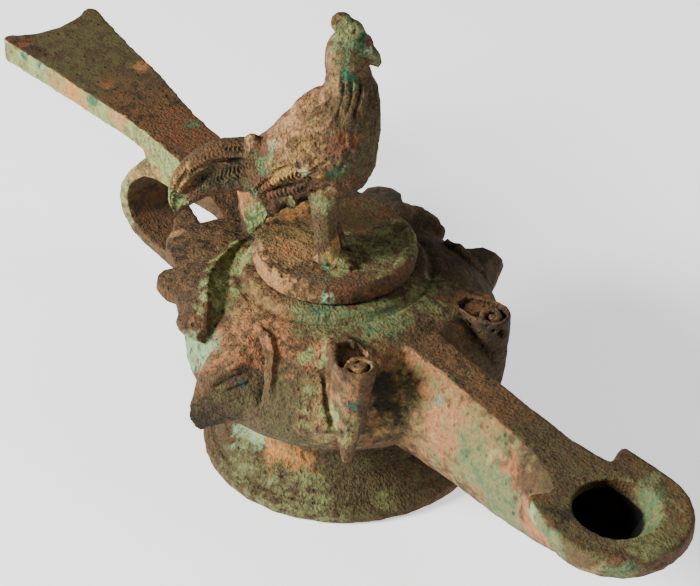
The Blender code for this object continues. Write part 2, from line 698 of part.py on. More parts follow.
def tail_frame(t):
    """Tail at t from root to tip: outer edge, inner edge."""
    outer = [
        (0.0, -11.0, 68.6),
        (0.14, -16.0, 68.2),
        (0.3, -20.8, 67.9),
        (0.45, -24.6, 66.4),
        (0.6, -28.2, 63.2),
        (0.74, -30.6, 59.4),
        (0.88, -31.4, 55.4),
        (1.0, -30.2, 52.2),
    ]
    inner = [
        (0.0, -9.5, 58.6),
        (0.14, -13.6, 58.0),
        (0.3, -18.2, 57.6),
        (0.45, -21.6, 56.8),
        (0.6, -24.4, 55.4),
        (0.74, -26.6, 54.0),
        (0.88, -28.4, 52.6),
        (1.0, -29.8, 51.6),
    ]
    return read_curve(outer, t), read_curve(inner, t)


def build_tail(lid, tools):
    """Sickle tail: two ridges run side by side along its outer edge, and a broad band fills the inside."""
    relief = [
        (0.0, 0.25),
        (0.07, 0.8),
        (0.16, 1.0),
        (0.24, 0.72),
        (0.32, 0.95),
        (0.42, 0.62),
        (0.52, 0.5),
        (0.68, 0.78),
        (0.84, 0.66),
        (1.0, 0.2),
    ]
    rings = []
    for k in range(11):
        t = k / 10
        (so, zo), (si, zi) = tail_frame(t)
        thick = lerp(4.0, 1.4, t)
        one, other = [], []
        for u, amount in relief:
            s, z = lerp(so, si, u), lerp(zo, zi, u)
            one.append(cock_point(s, thick * amount, z))
            other.append(cock_point(s, -thick * amount, z))
        rings.append(one + other[::-1])
    add(lid, loft("tail", rings, tools))
    ahead = Vector((math.cos(HEADING), math.sin(HEADING), 0))
    across = Vector((-math.sin(HEADING), math.cos(HEADING), 0))
    stub = []
    for s, z, reach in ((-9.0, 66.6, 1.7), (-12.6, 67.8, 1.8), (-15.6, 68.4, 1.75), (-16.3, 68.5, 1.2)):
        stub.append(
            [
                tuple(
                    Vector(cock_point(s, -1.2, z))
                    + across * (reach * math.cos(2 * math.pi * k / 8))
                    + (Vector((0, 0, 1)) * 0.98 + ahead * 0.2) * (reach * math.sin(2 * math.pi * k / 8))
                )
                for k in range(8)
            ]
        )
    add(lid, loft("back_stub", stub, tools))


def build_wings(lid, tools):
    """Folded wings: a rounded shoulder, and two feather bands that run back and down."""
    ahead = Vector((math.cos(HEADING), math.sin(HEADING), 0))
    up = Vector((0, 0, 1))
    along = ahead * math.cos(math.radians(32)) + up * math.sin(math.radians(32))
    above = up * math.cos(math.radians(32)) - ahead * math.sin(math.radians(32))
    across = Vector((-math.sin(HEADING), math.cos(HEADING), 0))
    for side in (-1, 1):
        centre = cock_point(0.2, side * 4.7, 69.8)
        add(lid, ball(f"wing_shoulder_{side:+d}", centre, (5.9, 2.7, 5.2), (along, across, above), tools, 14, 9))
        bands = (
            ("upper", (1.0, 69.0), (-8.0, 64.6), (-16.4, 60.6), 2.4, 2.9),
            ("lower", (0.5, 65.1), (-7.4, 62.0), (-15.0, 59.3), 1.9, 2.7),
        )
        for name, start, middle, end, deep, wide in bands:
            rings = []
            for k in range(7):
                t = k / 6
                table = [(0.0, *start), (0.5, *middle), (1.0, *end)]
                s, z = read_curve(table, t)
                size = 0.45 + 0.55 * math.sin(math.pi * min(1.0, 0.12 + 0.72 * t) ** 0.8)
                reach = lerp(4.3, 4.9, math.sin(math.pi * t)) - 1.2 * t
                ring = []
                for j in range(8):
                    a = 2 * math.pi * j / 8
                    n = side * (reach + wide * 0.55 * size * math.sin(a))
                    ring.append(cock_point(s, n, z + deep * size * math.cos(a)))
                rings.append(ring)
            add(lid, loft(f"wing_{name}_{side:+d}", rings, tools))


def build_legs(lid, tools):
    """Thighs, shanks and feet."""
    for side in (-1, 1):
        table = [
            (0.0, -1.8, 2.4, 61.0, 3.6, 2.9),
            (1.0, -1.6, 2.4, 57.4, 2.9, 2.4),
            (2.0, -1.6, 2.3, 54.0, 2.4, 2.0),
            (3.0, -1.5, 2.3, 51.0, 2.2, 1.9),
            (4.0, -0.9, 2.4, 47.6, 2.3, 2.1),
            (5.0, 0.0, 2.5, 44.0, 3.0, 2.6),
        ]
        rings = []
        for k in range(8):
            s, n, z, deep, wide = read_curve(table, k * 5 / 7)
            ring = []
            for j in range(10):
                turn = 2 * math.pi * j / 10
                ring.append(cock_point(s + deep * math.cos(turn), side * n + wide * math.sin(turn), z))
            rings.append(ring)
        add(lid, loft(f"leg_{side:+d}", rings, tools))
        for toe, (turn, reach) in enumerate(((-28.0, 4.2), (2.0, 4.8), (32.0, 4.2), (180.0, 4.0))):
            a = math.radians(turn)
            path = []
            for t in (0.0, 0.6, 1.0):
                s, n = 0.2 + reach * t * math.cos(a), side * 2.6 + reach * t * math.sin(a)
                path.append(cock_point(s, n, lerp(45.2, 44.5, t)))
            add(lid, tube(f"toe_{side:+d}_{toe}", path, [1.6, 1.3, 0.6], tools, 6))


def build_lid(coll, tools):
    """Lid disc with a shallow sunk top, a locating rim under it, and the cockerel."""
    bottom = SEAT_Z + GAP
    profile = [
        (0.0, LID_TOP_Z - 0.4),
        (12.8, LID_TOP_Z - 0.4),
        (13.4, LID_TOP_Z),
        (14.5, LID_TOP_Z),
        (LID_R, LID_TOP_Z - 0.5),
        (LID_R + 0.15, 42.6),
        (LID_R - 0.1, bottom + 0.3),
        (LID_R - 0.4, bottom),
        (10.9, bottom),
        (10.9, bottom - 2.6),
        (8.9, bottom - 2.6),
        (8.9, bottom),
        (8.4, bottom + 0.6),
        (0.0, bottom + 0.6),
    ]
    lid = lathe("cockerel_lid", profile, LID_X, 28, coll)
    build_trunk(lid, tools)
    build_legs(lid, tools)
    build_tail(lid, tools)
    build_wings(lid, tools)
    build_head(lid, tools)
    return lid


def main():
    """Build the lamp."""
    clear_scene()
    lamp = new_collection("Bronze oil lamp")
    tools = new_collection("Joined shapes and cutters")
    body = build_body(lamp, tools)
    lid = build_lid(lamp, tools)
    body.data.materials.append(make_material("Patinated bronze, body", (0.17, 0.105, 0.065), 0.75, 0.4))
    lid.data.materials.append(make_material("Patinated bronze, lid", (0.2, 0.13, 0.08), 0.75, 0.4))
    for obj in (body, lid):
        obj.data.shade_smooth()


if __name__ == "__main__":
    main()
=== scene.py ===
"""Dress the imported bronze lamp: recast both castings finely, carve their relief and lay the patina on them."""

import json
import logging
import math
from dataclasses import dataclass, field
from enum import Enum

import bpy
import numpy as np
from mathutils import Matrix, Vector

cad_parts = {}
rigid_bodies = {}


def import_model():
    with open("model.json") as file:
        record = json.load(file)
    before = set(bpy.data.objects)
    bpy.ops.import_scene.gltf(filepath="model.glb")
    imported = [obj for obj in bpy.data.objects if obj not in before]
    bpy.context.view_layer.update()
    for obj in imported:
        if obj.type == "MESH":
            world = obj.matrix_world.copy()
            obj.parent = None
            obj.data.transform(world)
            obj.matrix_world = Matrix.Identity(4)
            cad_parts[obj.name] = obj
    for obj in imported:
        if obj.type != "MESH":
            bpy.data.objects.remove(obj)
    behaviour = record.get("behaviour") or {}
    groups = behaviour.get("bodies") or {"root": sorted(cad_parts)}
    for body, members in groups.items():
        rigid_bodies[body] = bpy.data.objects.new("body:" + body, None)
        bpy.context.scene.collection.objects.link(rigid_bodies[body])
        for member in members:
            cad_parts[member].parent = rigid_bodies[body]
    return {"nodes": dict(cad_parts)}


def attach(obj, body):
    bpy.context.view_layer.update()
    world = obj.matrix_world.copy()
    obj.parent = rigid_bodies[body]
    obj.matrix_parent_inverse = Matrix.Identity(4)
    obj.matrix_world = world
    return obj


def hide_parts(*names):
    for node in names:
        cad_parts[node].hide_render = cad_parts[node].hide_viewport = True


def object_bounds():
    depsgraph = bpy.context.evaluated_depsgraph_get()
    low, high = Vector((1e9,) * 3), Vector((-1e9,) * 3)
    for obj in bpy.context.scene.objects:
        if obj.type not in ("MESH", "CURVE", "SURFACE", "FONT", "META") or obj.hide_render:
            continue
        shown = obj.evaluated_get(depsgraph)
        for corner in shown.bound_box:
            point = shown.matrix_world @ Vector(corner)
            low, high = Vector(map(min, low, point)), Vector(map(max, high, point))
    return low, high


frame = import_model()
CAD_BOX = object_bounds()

LOG = logging.getLogger("lamp")
MM = 0.001
AXIS_X = 8.4  # the globe's axis lies this far in front of the origin, in millimetres
HEADING = math.radians(47.0)  # the cockerel is turned this far from the nozzle toward +Y
COCK_ORIGIN = (0.2, -2.4)  # where its middle plane crosses the lid, from the globe's axis
AXIS = np.array([AXIS_X, 0.0, 0.0])

Array = np.ndarray
Socket = bpy.types.NodeSocket
Point = tuple[float, float, float]


class Tone(Enum):
    """Colours of the corrosion crust, and a near-black for painted shade, as sRGB hex values."""

    OLIVE = "#4a4327"
    UMBER = "#40311f"
    DARK = "#2b2415"
    BROWN = "#553d24"
    RUSSET = "#643d25"
    TAN = "#81653e"
    SALMON = "#8e603d"
    PINK = "#97734c"
    OCHRE = "#90723e"
    ORANGE = "#9c6a38"
    PALE_GREEN = "#7d8651"
    SAGE = "#666840"
    MINT = "#768f6b"
    MALACHITE = "#465e3e"
    TEAL = "#2d4f3d"
    EMERALD = "#2a4c36"
    GREY = "#565039"
    CHALK = "#a29c72"
    # near-black painted shade: the deep wick hole and the shadow under the near lug's tip
    SOOT = "#040402"


def linear(hex_value: str) -> tuple[float, float, float]:
    """Turn an sRGB hex value into linear red, green and blue."""
    parts = [int(hex_value[k : k + 2], 16) / 255.0 for k in (1, 3, 5)]
    return tuple(p / 12.92 if p <= 0.04045 else ((p + 0.055) / 1.055) ** 2.4 for p in parts)


def select_only(piece: bpy.types.Object) -> None:
    """Select one piece and nothing else.

    Args:
        piece: The piece, which also becomes the active one.
    """
    for other in bpy.context.scene.objects:
        other.select_set(other == piece)
    bpy.context.view_layer.objects.active = piece


def smooth_step(values: Array, low: float, high: float) -> Array:
    """Ease from 0 at low to 1 at high."""
    t = np.clip((values - low) / (high - low), 0.0, 1.0)
    return t * t * (3.0 - 2.0 * t)


def lattice(cells: Array, seed: int) -> Array:
    """Give each cell of a grid one pseudo-random value.

    Args:
        cells: Whole-numbered places of the cells.
        seed: Which set of values it is.

    Returns:
        One value from 0 to 1 for each cell.
    """
    h = cells[:, 0] * 73856093 ^ cells[:, 1] * 19349663 ^ cells[:, 2] * 83492791 ^ (seed * 2654435761)
    h = (h ^ (h >> 13)) * 1274126177 & 0x7FFFFFFF
    h = (h ^ (h >> 15)) * 668265263 & 0x7FFFFFFF
    return ((h >> 7) & 0xFFFF) / 65535.0


def noise(points: Array, cell: float, seed: int, octaves: int = 1) -> Array:
    """Smooth noise over points, about -1 to 1.

    Args:
        points: Places in millimetres.
        cell: Size of the coarsest features in millimetres.
        seed: Which noise it is.
        octaves: Number of layers, each half the size and strength of the one before.

    Returns:
        One value for each point.
    """
    total = np.zeros(len(points))
    weight, reach = 1.0, 0.0
    for octave in range(octaves):
        p = points / cell + 31.7 * (seed + 1)
        base = np.floor(p).astype(np.int64)
        f = p - base
        w = f * f * (3.0 - 2.0 * f)
        value = np.zeros(len(points))
        for corner in range(8):
            step = np.array([corner & 1, corner >> 1 & 1, corner >> 2 & 1])
            share = np.prod(np.where(step, w, 1.0 - w), axis=1)
            value += share * lattice(base + step, seed + 17 * octave)
        total += weight * (2.0 * value - 1.0)
        reach += weight
        weight, cell = 0.5 * weight, 0.5 * cell
    return total / reach


def path_distance(points: Array, path: list[Point]) -> tuple[Array, Array]:
    """Measure how far each point lies from a path.

    Args:
        points: Places in millimetres.
        path: Points of the path.

    Returns:
        The distances, and how far along the nearest place is, from 0 to 1.
    """
    nodes = np.array(path, float)
    lengths = np.linalg.norm(np.diff(nodes, axis=0), axis=1)
    starts = np.concatenate([[0.0], np.cumsum(lengths)])
    best = np.full(len(points), 1e9)
    along = np.zeros(len(points))
    for k in range(len(lengths)):
        step = nodes[k + 1] - nodes[k]
        t = np.clip((points - nodes[k]) @ step / max(lengths[k] ** 2, 1e-9), 0.0, 1.0)
        away = np.linalg.norm(points - nodes[k] - t[:, None] * step, axis=1)
        nearer = away < best
        best = np.where(nearer, away, best)
        along = np.where(nearer, (starts[k] + t * lengths[k]) / starts[-1], along)
    return best, along


@dataclass(frozen=True)
class Mark:
    """One tool mark: its path, half its width, and its depth below (negative) or height above the skin."""

    path: tuple[Point, ...]
    width: float
    depth: float
    ribs: float = 0.0  # spacing of the feather barbs across it, or 0 for a plain mark


@dataclass
class Skin:
    """Surface of a casting as arrays in millimetres from the globe's axis, to be carved and painted."""

    piece: bpy.types.Object
    points: Array = field(init=False)
    normals: Array = field(init=False)
    edges: Array = field(init=False)
    box: tuple[Array, Array] = field(init=False)

    def __post_init__(self) -> None:
        """Read the mesh."""
        self.read()
        self.box = tuple(np.array(corner) / MM - AXIS for corner in CAD_BOX)

    def read(self) -> None:
        """Read points, normals and edges from the mesh."""
        mesh = self.piece.data
        flat = np.zeros(len(mesh.vertices) * 3)
        mesh.vertices.foreach_get("co", flat)
        self.points = flat.reshape(-1, 3) / MM - AXIS
        self.read_normals()
        flat = np.zeros(len(mesh.edges) * 2, np.int32)
        mesh.edges.foreach_get("vertices", flat)
        self.edges = flat.reshape(-1, 2)

    def read_normals(self) -> None:
        """Read the normal of each point from the mesh."""
        flat = np.zeros(len(self.points) * 3, np.float32)
        self.piece.data.vertex_normals.foreach_get("vector", flat)
        self.normals = flat.reshape(-1, 3).astype(float)

    def place(self, points: Array) -> None:
        """Move the points of the mesh to places in millimetres from the globe's axis."""
        self.piece.data.vertices.foreach_set("co", ((points + AXIS) * MM).astype(np.float32).ravel())
        self.piece.data.update()

    def write(self) -> None:
        """Put the points back into the mesh, held inside the solid model's box."""
        self.place(np.clip(self.points, self.box[0], self.box[1]))
        self.read()

    def refresh(self) -> None:
        """Work the normals out again after a change."""
        self.place(self.points)
        self.read_normals()

    def close_to(self, nodes: Array, reach: float) -> Array:
        """Indices of the points in the box around some nodes, widened by a reach in millimetres."""
        low, high = nodes.min(axis=0) - reach, nodes.max(axis=0) + reach
        return np.flatnonzero(np.all((self.points > low) & (self.points < high), axis=1))

    def push(self, amount: Array) -> None:
        """Move each point along its normal by an amount in millimetres."""
        self.points = self.points + self.normals * amount[:, None]

    def stroke(self, path: list[Point], width: float, depth: float, fade: bool = True) -> None:
        """Draw one tool mark along a path: cut in where depth is negative, raised where it is positive.

        Args:
            path: Points of the mark.
            width: Half its width in millimetres.
            depth: Its depth or height in millimetres.
            fade: Whether it runs out at both ends.
        """
        near = self.close_to(np.array(path, float), 3.0 * width)
        away, along = path_distance(self.points[near], path)
        shape = np.exp(-((away / width) ** 2))
        if fade:
            shape *= smooth_step(along, -0.02, 0.18) * smooth_step(1.0 - along, -0.02, 0.18)
        self.points[near] += self.normals[near] * (depth * shape)[:, None]

    def carve(self, marks: tuple[Mark, ...]) -> None:
        """Cut each mark, and comb barbs across those that have them.

        Args:
            marks: The marks in order.
        """
        for mark in marks:
            path = list(mark.path)
            if mark.ribs:
                self.comb(path, mark.width, abs(mark.depth), mark.ribs)
            else:
                length = sum(math.dist(a, b) for a, b in zip(path, path[1:]))
                self.stroke(path, mark.width, mark.depth, fade=length > 2.0 * mark.width)
            self.refresh()

    def comb(self, path: list[Point], width: float, depth: float, spacing: float) -> None:
        """Cut slanting barbs on both sides of a quill.

        Args:
            path: Points of the quill.
            width: Half the feather's width in millimetres.
            depth: Depth of the barbs in millimetres.
            spacing: Distance from barb to barb in millimetres.
        """
        nodes = np.array(path, float)
        near = self.close_to(nodes, 2.5 * width)
        away, along = path_distance(self.points[near], path)
        length = np.linalg.norm(np.diff(nodes, axis=0), axis=1).sum()
        phase = (along * length + 0.8 * away) * 2.0 * math.pi / spacing
        shape = np.exp(-((away / width) ** 4)) * (np.abs(np.cos(0.5 * phase)) - 0.75)
        self.points[near] += self.normals[near] * (2.0 * depth * shape)[:, None]

    def blur(self, values: Array, rounds: int) -> Array:
        """Average values over neighbouring points.

        Args:
            values: One value, or one row of values, for each point.
            rounds: How many times over.

        Returns:
            The smoothed values, in the same shape.
        """
        count = len(self.points)
        a, b = self.edges[:, 0], self.edges[:, 1]
        degree = np.maximum(np.bincount(a, minlength=count) + np.bincount(b, minlength=count), 1)
        flat = values.reshape(count, -1).astype(float)
        for _ in range(rounds):
            total = np.empty_like(flat)
            for c in range(flat.shape[1]):
                column = flat[:, c]
                total[:, c] = np.bincount(a, column[b], count) + np.bincount(b, column[a], count)
            flat = 0.5 * flat + 0.5 * total / degree[:, None]
        return flat.reshape(values.shape)

    def hollowness(self, rounds: int) -> Array:
        """How far each point lies below its surroundings, in millimetres. Crevices are positive."""
        return np.einsum("ij,ij->i", self.blur(self.points, rounds) - self.points, self.normals)

    def attribute(self, name: str, values: Array) -> None:
        """Store a colour with alpha for each point in a named attribute of the mesh."""
        made = self.piece.data.attributes.new(name, "FLOAT_COLOR", "POINT")
        made.data.foreach_set("color", values.astype(np.float32).ravel())


def recast(node: str, name: str, voxel: float) -> bpy.types.Object:
    """Make a fine mesh of a CAD node, with its edges a little worn.

    Args:
        node: Name of the CAD node.
        name: Name of the new piece.
        voxel: Size of the new mesh's faces in millimetres.

    Returns:
        The new piece.
    """
    piece = bpy.data.objects.new(name, frame["nodes"][node].data.copy())
    bpy.context.scene.collection.objects.link(piece)
    piece.data.name = name
    piece.data.materials.clear()
    select_only(piece)
    bpy.ops.object.mode_set(mode="EDIT")
    bpy.ops.mesh.select_all(action="SELECT")
    bpy.ops.mesh.remove_doubles(threshold=0.004 * MM)
    bpy.ops.mesh.normals_make_consistent(inside=False)
    bpy.ops.object.mode_set(mode="OBJECT")
    remesh = piece.modifiers.new("Fine skin", "REMESH")
    remesh.mode = "VOXEL"
    remesh.voxel_size = voxel * MM
    bpy.ops.object.modifier_apply(modifier=remesh.name)
    smooth = piece.modifiers.new("Worn edges", "SMOOTH")
    smooth.factor = 0.5
    bpy.ops.object.modifier_apply(modifier=smooth.name)
    return piece


def triangle_count(piece: bpy.types.Object) -> int:
    """Number of triangles in a mesh."""
    return sum(len(face.vertices) - 2 for face in piece.data.polygons)


def thin_out(piece: bpy.types.Object, plain: Array, limit: int) -> None:
    """Collapse faces to a limit, the plain hidden places first.

    Args:
        piece: The fine mesh.
        plain: For each point, 1 where nothing is seen and 0 where detail matters.
        limit: The number of triangles that may stay.
    """
    label, shares, margin = "hidden and plain", 4, 0.99
    group = piece.vertex_groups.new(name=label)
    for level in range(shares + 1):
        chosen = np.flatnonzero(np.round(plain * shares) == level)
        group.add(chosen.tolist(), level / shares, "REPLACE")
    select_only(piece)
    for plain_only in (True, False, False, False):
        faces = triangle_count(piece)
        if faces <= limit:
            break
        thin = piece.modifiers.new("Fewer faces", "DECIMATE")
        thin.ratio = margin * limit / faces
        if plain_only:
            thin.ratio = max(thin.ratio, 1.0 - 0.95 * float(plain.mean()))
            thin.vertex_group = label
            thin.vertex_group_factor = 3.0
        bpy.ops.object.modifier_apply(modifier=thin.name)
    piece.vertex_groups.clear()
    piece.data.validate()


@dataclass(frozen=True)
class Patch:
    """One patch of patina: where it lies, which way that surface faces, its radius and its two tones."""

    x: float
    y: float
    z: float
    facing: Point
    radius: float
    tone: Tone
    mottle: Tone


@dataclass
class PatinaMap:
    """Two colours for each point, the crust and what mottles it, built up from patches."""

    skin: Skin
    crust: Array = field(init=False)
    mottle: Array = field(init=False)
    warp: Array = field(init=False)
    rag: Array = field(init=False)

    def __post_init__(self) -> None:
        """Start from plain brown over dark."""
        count = len(self.skin.points)
        self.crust = np.tile(linear(Tone.BROWN.value), (count, 1))
        self.mottle = np.tile(linear(Tone.UMBER.value), (count, 1))
        points = self.skin.points
        self.warp = np.column_stack([noise(points, 3.0, s, 3) for s in (3, 4, 5)])
        self.rag = noise(points, 1.3, 9, 3)

    def wash(self, mask: Array, tone: Tone, mottle: Tone) -> None:
        """Lay two tones over the map.

        Args:
            mask: How strongly at each point.
            tone: The crust's tone.
            mottle: The tone that mottles it.
        """
        share = np.clip(mask, 0.0, 1.0)[:, None]
        self.crust = self.crust * (1.0 - share) + np.array(linear(tone.value)) * share
        self.mottle = self.mottle * (1.0 - share) + np.array(linear(mottle.value)) * share

    def lay(self, patch: Patch) -> None:
        """Lay one patch with a ragged edge.

        Args:
            patch: The patch.
        """
        ragged = self.skin.points + self.warp * min(2.6, 0.42 * patch.radius)
        away = np.linalg.norm(ragged - np.array([patch.x, patch.y, patch.z]), axis=1) / patch.radius
        mask = 1.0 - smooth_step(away + 0.75 * self.rag, 0.62, 1.02)
        facing = self.skin.normals @ np.array(Vector(patch.facing).normalized())
        mask = mask * smooth_step(facing, 0.15, 0.55)
        self.wash(mask, patch.tone, patch.mottle)


@dataclass(frozen=True)
class BronzeCrust:
    """Buried leaded bronze: a dry, matt, pitted crust of cuprite and malachite that nowhere shines as metal."""

    name: str
    roughness: float = 0.86
    grain_mm: float = 0.55  # grit of the crust
    pit_mm: float = 1.1  # corrosion pits
    mottle_mm: float = 2.6  # patches of one mineral in another
    bloom_mm: float = 2.1  # green spots
    relief: float = 0.5  # strength of the pits
    crust_bump: float = 0.0006  # height of crust and grit in metres
    pit_bump: float = 0.0003  # depth of the pits in metres

    def material(self) -> bpy.types.Material:
        """Build the material from the painted attributes and patterns in Object coordinates.

        Returns:
            The material.
        """
        made = bpy.data.materials.new(self.name)
        made.use_nodes = True
        shader = made.node_tree.nodes["Principled BSDF"]
        desk = NodeDesk(made.node_tree)
        place = desk.add("TexCoord").outputs["Object"]
        crust = desk.add("Attribute", attribute_name="crust").outputs["Color"]
        under = desk.add("Attribute", attribute_name="mottle").outputs["Color"]
        marks = desk.add("Attribute", attribute_name="marks").outputs["Color"]
        split = desk.add("SeparateColor", {"Color": marks})
        shaded_crevice, bloom, calm = (split.outputs[key] for key in ("Red", "Green", "Blue"))
        wide = desk.clouds(place, self.mottle_mm, 6.0, 0.66, 0.6)
        fine = desk.clouds(place, self.grain_mm, 3.0, 0.6)
        middle = desk.clouds(place, self.pit_mm, 4.0, 0.62, 0.2)
        cells = {"Vector": place, "Scale": 1000.0 / (self.pit_mm * 1.6)}
        pits = desk.add("TexVoronoi", cells).outputs["Distance"]
        colour = desk.mix(desk.remap(wide, 0.46, 0.6), crust, under)
        # lighter and darker grains, fainter where the crust is calm
        even = (1.0, 1.0, 1.0)
        calmer = desk.remap(calm, to_high=0.8)
        light = desk.remap(middle, 0.3, 0.7, 0.78, 1.25)
        colour = desk.tint(colour, desk.mix(calmer, light, even))
        grain = desk.remap(fine, 0.32, 0.68, 0.74, 1.3)
        colour = desk.tint(colour, desk.mix(calmer, grain, even))
        # green bloom in spots
        level = desk.combine("ADD", desk.clouds(place, self.bloom_mm, 5.0, 0.7), bloom)
        green = desk.mix(grain, linear(Tone.EMERALD.value), linear(Tone.MINT.value))
        colour = desk.mix(desk.remap(level, 0.9, 1.02), colour, green)
        # corrosion pits hold the dark, and crevices are darkened as painted shade
        hole = desk.combine("MAXIMUM", desk.remap(pits, 0.1, 0.28), desk.remap(middle, 0.52, 0.6))
        deep = desk.remap(shaded_crevice, to_low=1.0, to_high=0.22)
        colour = desk.tint(colour, desk.combine("MULTIPLY", desk.remap(hole, to_low=0.6), deep))
        desk.tree.links.new(colour, shader.inputs["Base Color"])
        shader.inputs["Roughness"].default_value = self.roughness
        shader.inputs["Specular IOR Level"].default_value = 0.25
        # relief of crust, grit and pits
        depth = desk.remap(calm, to_low=1.0, to_high=0.25)
        relief = desk.bump(middle, depth, self.crust_bump)
        relief = desk.bump(fine, depth, self.crust_bump, relief)
        relief = desk.bump(hole, self.relief, self.pit_bump, relief)
        desk.tree.links.new(relief, shader.inputs["Normal"])
        return made


@dataclass
class NodeDesk:
    """A material's node tree, with short ways to add to it."""

    tree: bpy.types.NodeTree

    def add(self, kind: str, inputs: dict[str | int, object] | None = None, **settings: object) -> bpy.types.Node:
        """Add one node.

        Args:
            kind: Its type, without the "ShaderNode" in front.
            inputs: A value or another node's output for each input.
            settings: Its properties.

        Returns:
            The node.
        """
        node = self.tree.nodes.new("ShaderNode" + kind)
        for key, value in settings.items():
            setattr(node, key, value)
        for key, value in (inputs or {}).items():
            if isinstance(value, Socket):
                self.tree.links.new(value, node.inputs[key])
            else:
                node.inputs[key].default_value = value
        return node

    def remap(self, value: Socket, low: float = 0.0, high: float = 1.0, to_low: float = 0.0,
              to_high: float = 1.0) -> Socket:
        """Map a value from the range low to high to another range, and hold it there."""
        ends = {"Value": value, "From Min": low, "From Max": high, "To Min": to_low, "To Max": to_high}
        return self.add("MapRange", ends).outputs["Result"]

    def combine(self, operation: str, one: Socket, other: Socket) -> Socket:
        """Combine two values by a mathematical operation."""
        return self.add("Math", {0: one, 1: other}, operation=operation).outputs[0]

    def tint(self, colour: Socket, by: Socket) -> Socket:
        """Multiply a colour by another, or by a value."""
        return self.add("VectorMath", {0: colour, 1: by}, operation="MULTIPLY").outputs[0]

    def clouds(self, place: Socket, size_mm: float, detail: float, rough: float, twist: float = 0.0) -> Socket:
        """Noise with features of a size in millimetres."""
        inputs = {"Vector": place, "Scale": 1000.0 / size_mm, "Detail": detail, "Roughness": rough}
        return self.add("TexNoise", {**inputs, "Distortion": twist}).outputs["Fac"]

    def mix(self, share: Socket, one: object, other: object) -> Socket:
        """Mix two colours, each a socket or linear red, green and blue. Share 0 gives the first."""
        ends = [c if isinstance(c, Socket) else (*c, 1.0) for c in (one, other)]
        return self.add("Mix", {0: share, 6: ends[0], 7: ends[1]}, data_type="RGBA").outputs[2]

    def bump(self, height: Socket, strength: object, metres: float, under: Socket | None = None) -> Socket:
        """Raise a relief on the surface, or on another relief under it."""
        inputs = {"Height": height, "Strength": strength, "Distance": metres}
        return self.add("Bump", inputs if under is None else {**inputs, "Normal": under}).outputs[0]


# the ways that a patch can face; VIEW is upward, to the front and the near side
UP = (0.0, 0.0, 1.0)
NEAR = (0.0, -1.0, 0.0)
FRONT = (1.0, 0.0, 0.0)
VIEW = (0.65, -0.49, 0.58)

T = Tone  # short name for the tables below

BODY_MARKS = (
    # near lug: the rib from its tip, its veins, the gap behind its lip, and the lip
    Mark(((4.1, -34.2, 30.3), (4.7, -32.3, 32), (6, -30.2, 33.6), (6.2, -27.9, 34.1), (6.6, -26.4, 34.4)),
         0.6, 0.5),
    Mark(((4.6, -34, 29.3), (6.4, -31.1, 31.6), (7.5, -28.6, 32.6), (8.2, -27, 32.6)), 0.35, -0.5),
    Mark(((6, -32.4, 28.8), (7.1, -30.9, 29.7), (8.2, -29.2, 30.6), (8.8, -27.6, 31)), 0.3, -0.45),
    Mark(((6.6, -31.9, 26.6), (8.2, -29.9, 27.8), (9.6, -28.2, 28.4)), 0.3, -0.35),
    Mark(((0.4, -30.2, 32.4), (2.6, -28.4, 33.8), (4.6, -26.6, 34.8)), 0.35, -0.35),
    Mark(((-1.6, -28.2, 33.2), (0.8, -26.9, 34.4), (3, -25.6, 35.3)), 0.3, -0.3),
    Mark(((2.6, -23.2, 37), (5.2, -24, 36.6), (7.4, -25, 35.6), (9, -26, 34), (10.2, -26.8, 32.2),
          (10.9, -27.6, 30), (11.2, -28.2, 27.8), (11.2, -28.6, 26)), 0.75, -2),
    Mark(((1.6, -21.8, 37.5), (5, -22.3, 37.6), (7.4, -22.8, 36.8), (9.2, -23.4, 35.9), (10.6, -24.3, 34.8),
          (11.9, -25.6, 32.8), (12.7, -26.5, 30.4), (13.2, -27.3, 28.3)), 0.6, 1),
    # near scroll: hollow behind the curl, rolled edge and the cleft beside it
    Mark(((18.2, -14.2, 36.8), (18.8, -13.4, 36.4)), 1.5, 1),
    Mark(((18.1, -18.1, 35.3), (20.4, -19.4, 32.2), (22.3, -20.1, 28.6), (23.5, -19.9, 24.7)), 0.5, -0.7),
    Mark(((16.6, -16.3, 37.3), (19.2, -17.6, 34.8), (21.7, -18.7, 31.6), (23.7, -19.3, 27.7),
          (25.2, -19, 23.4)), 0.6, 0.35),
    Mark(((27, -18.1, 33.5), (26.6, -18.3, 27.5), (25.9, -18.4, 21.7)), 0.3, -0.15),
    # far scroll: casting pits
    Mark(((28.5, 15.6, 34.5), (28.4, 15.5, 34.2)), 0.6, -1.6),
    Mark(((28, 13.9, 35.5), (28, 13.8, 35.4)), 0.3, -0.8),
    Mark(((27.3, 12.8, 36.5), (27.3, 12.7, 36.4)), 0.3, -0.6),
    Mark(((27.4, 17.9, 28.9), (27.4, 17.9, 28.7)), 0.3, -0.7),
    Mark(((26.1, 18.8, 23.4), (26.1, 18.8, 23.2)), 0.3, -0.6),
    # foot: one short crack
    Mark(((9.6, -17.5, 10.1), (11.6, -17.6, 8.5), (11.9, -19.2, 6.6)), 0.3, -0.4),
    # dome: old scrapes
    Mark(((8, -20.5, 37.4), (11.5, -19.8, 37), (14.5, -18, 37)), 0.3, -0.2),
    Mark(((12, -24.5, 33.5), (14, -22.8, 34), (16, -21, 34.4)), 0.3, -0.2),
    Mark(((-8, -18, 38.2), (-4, -19.5, 38.2), (0, -20.5, 38)), 0.3, -0.2),
)


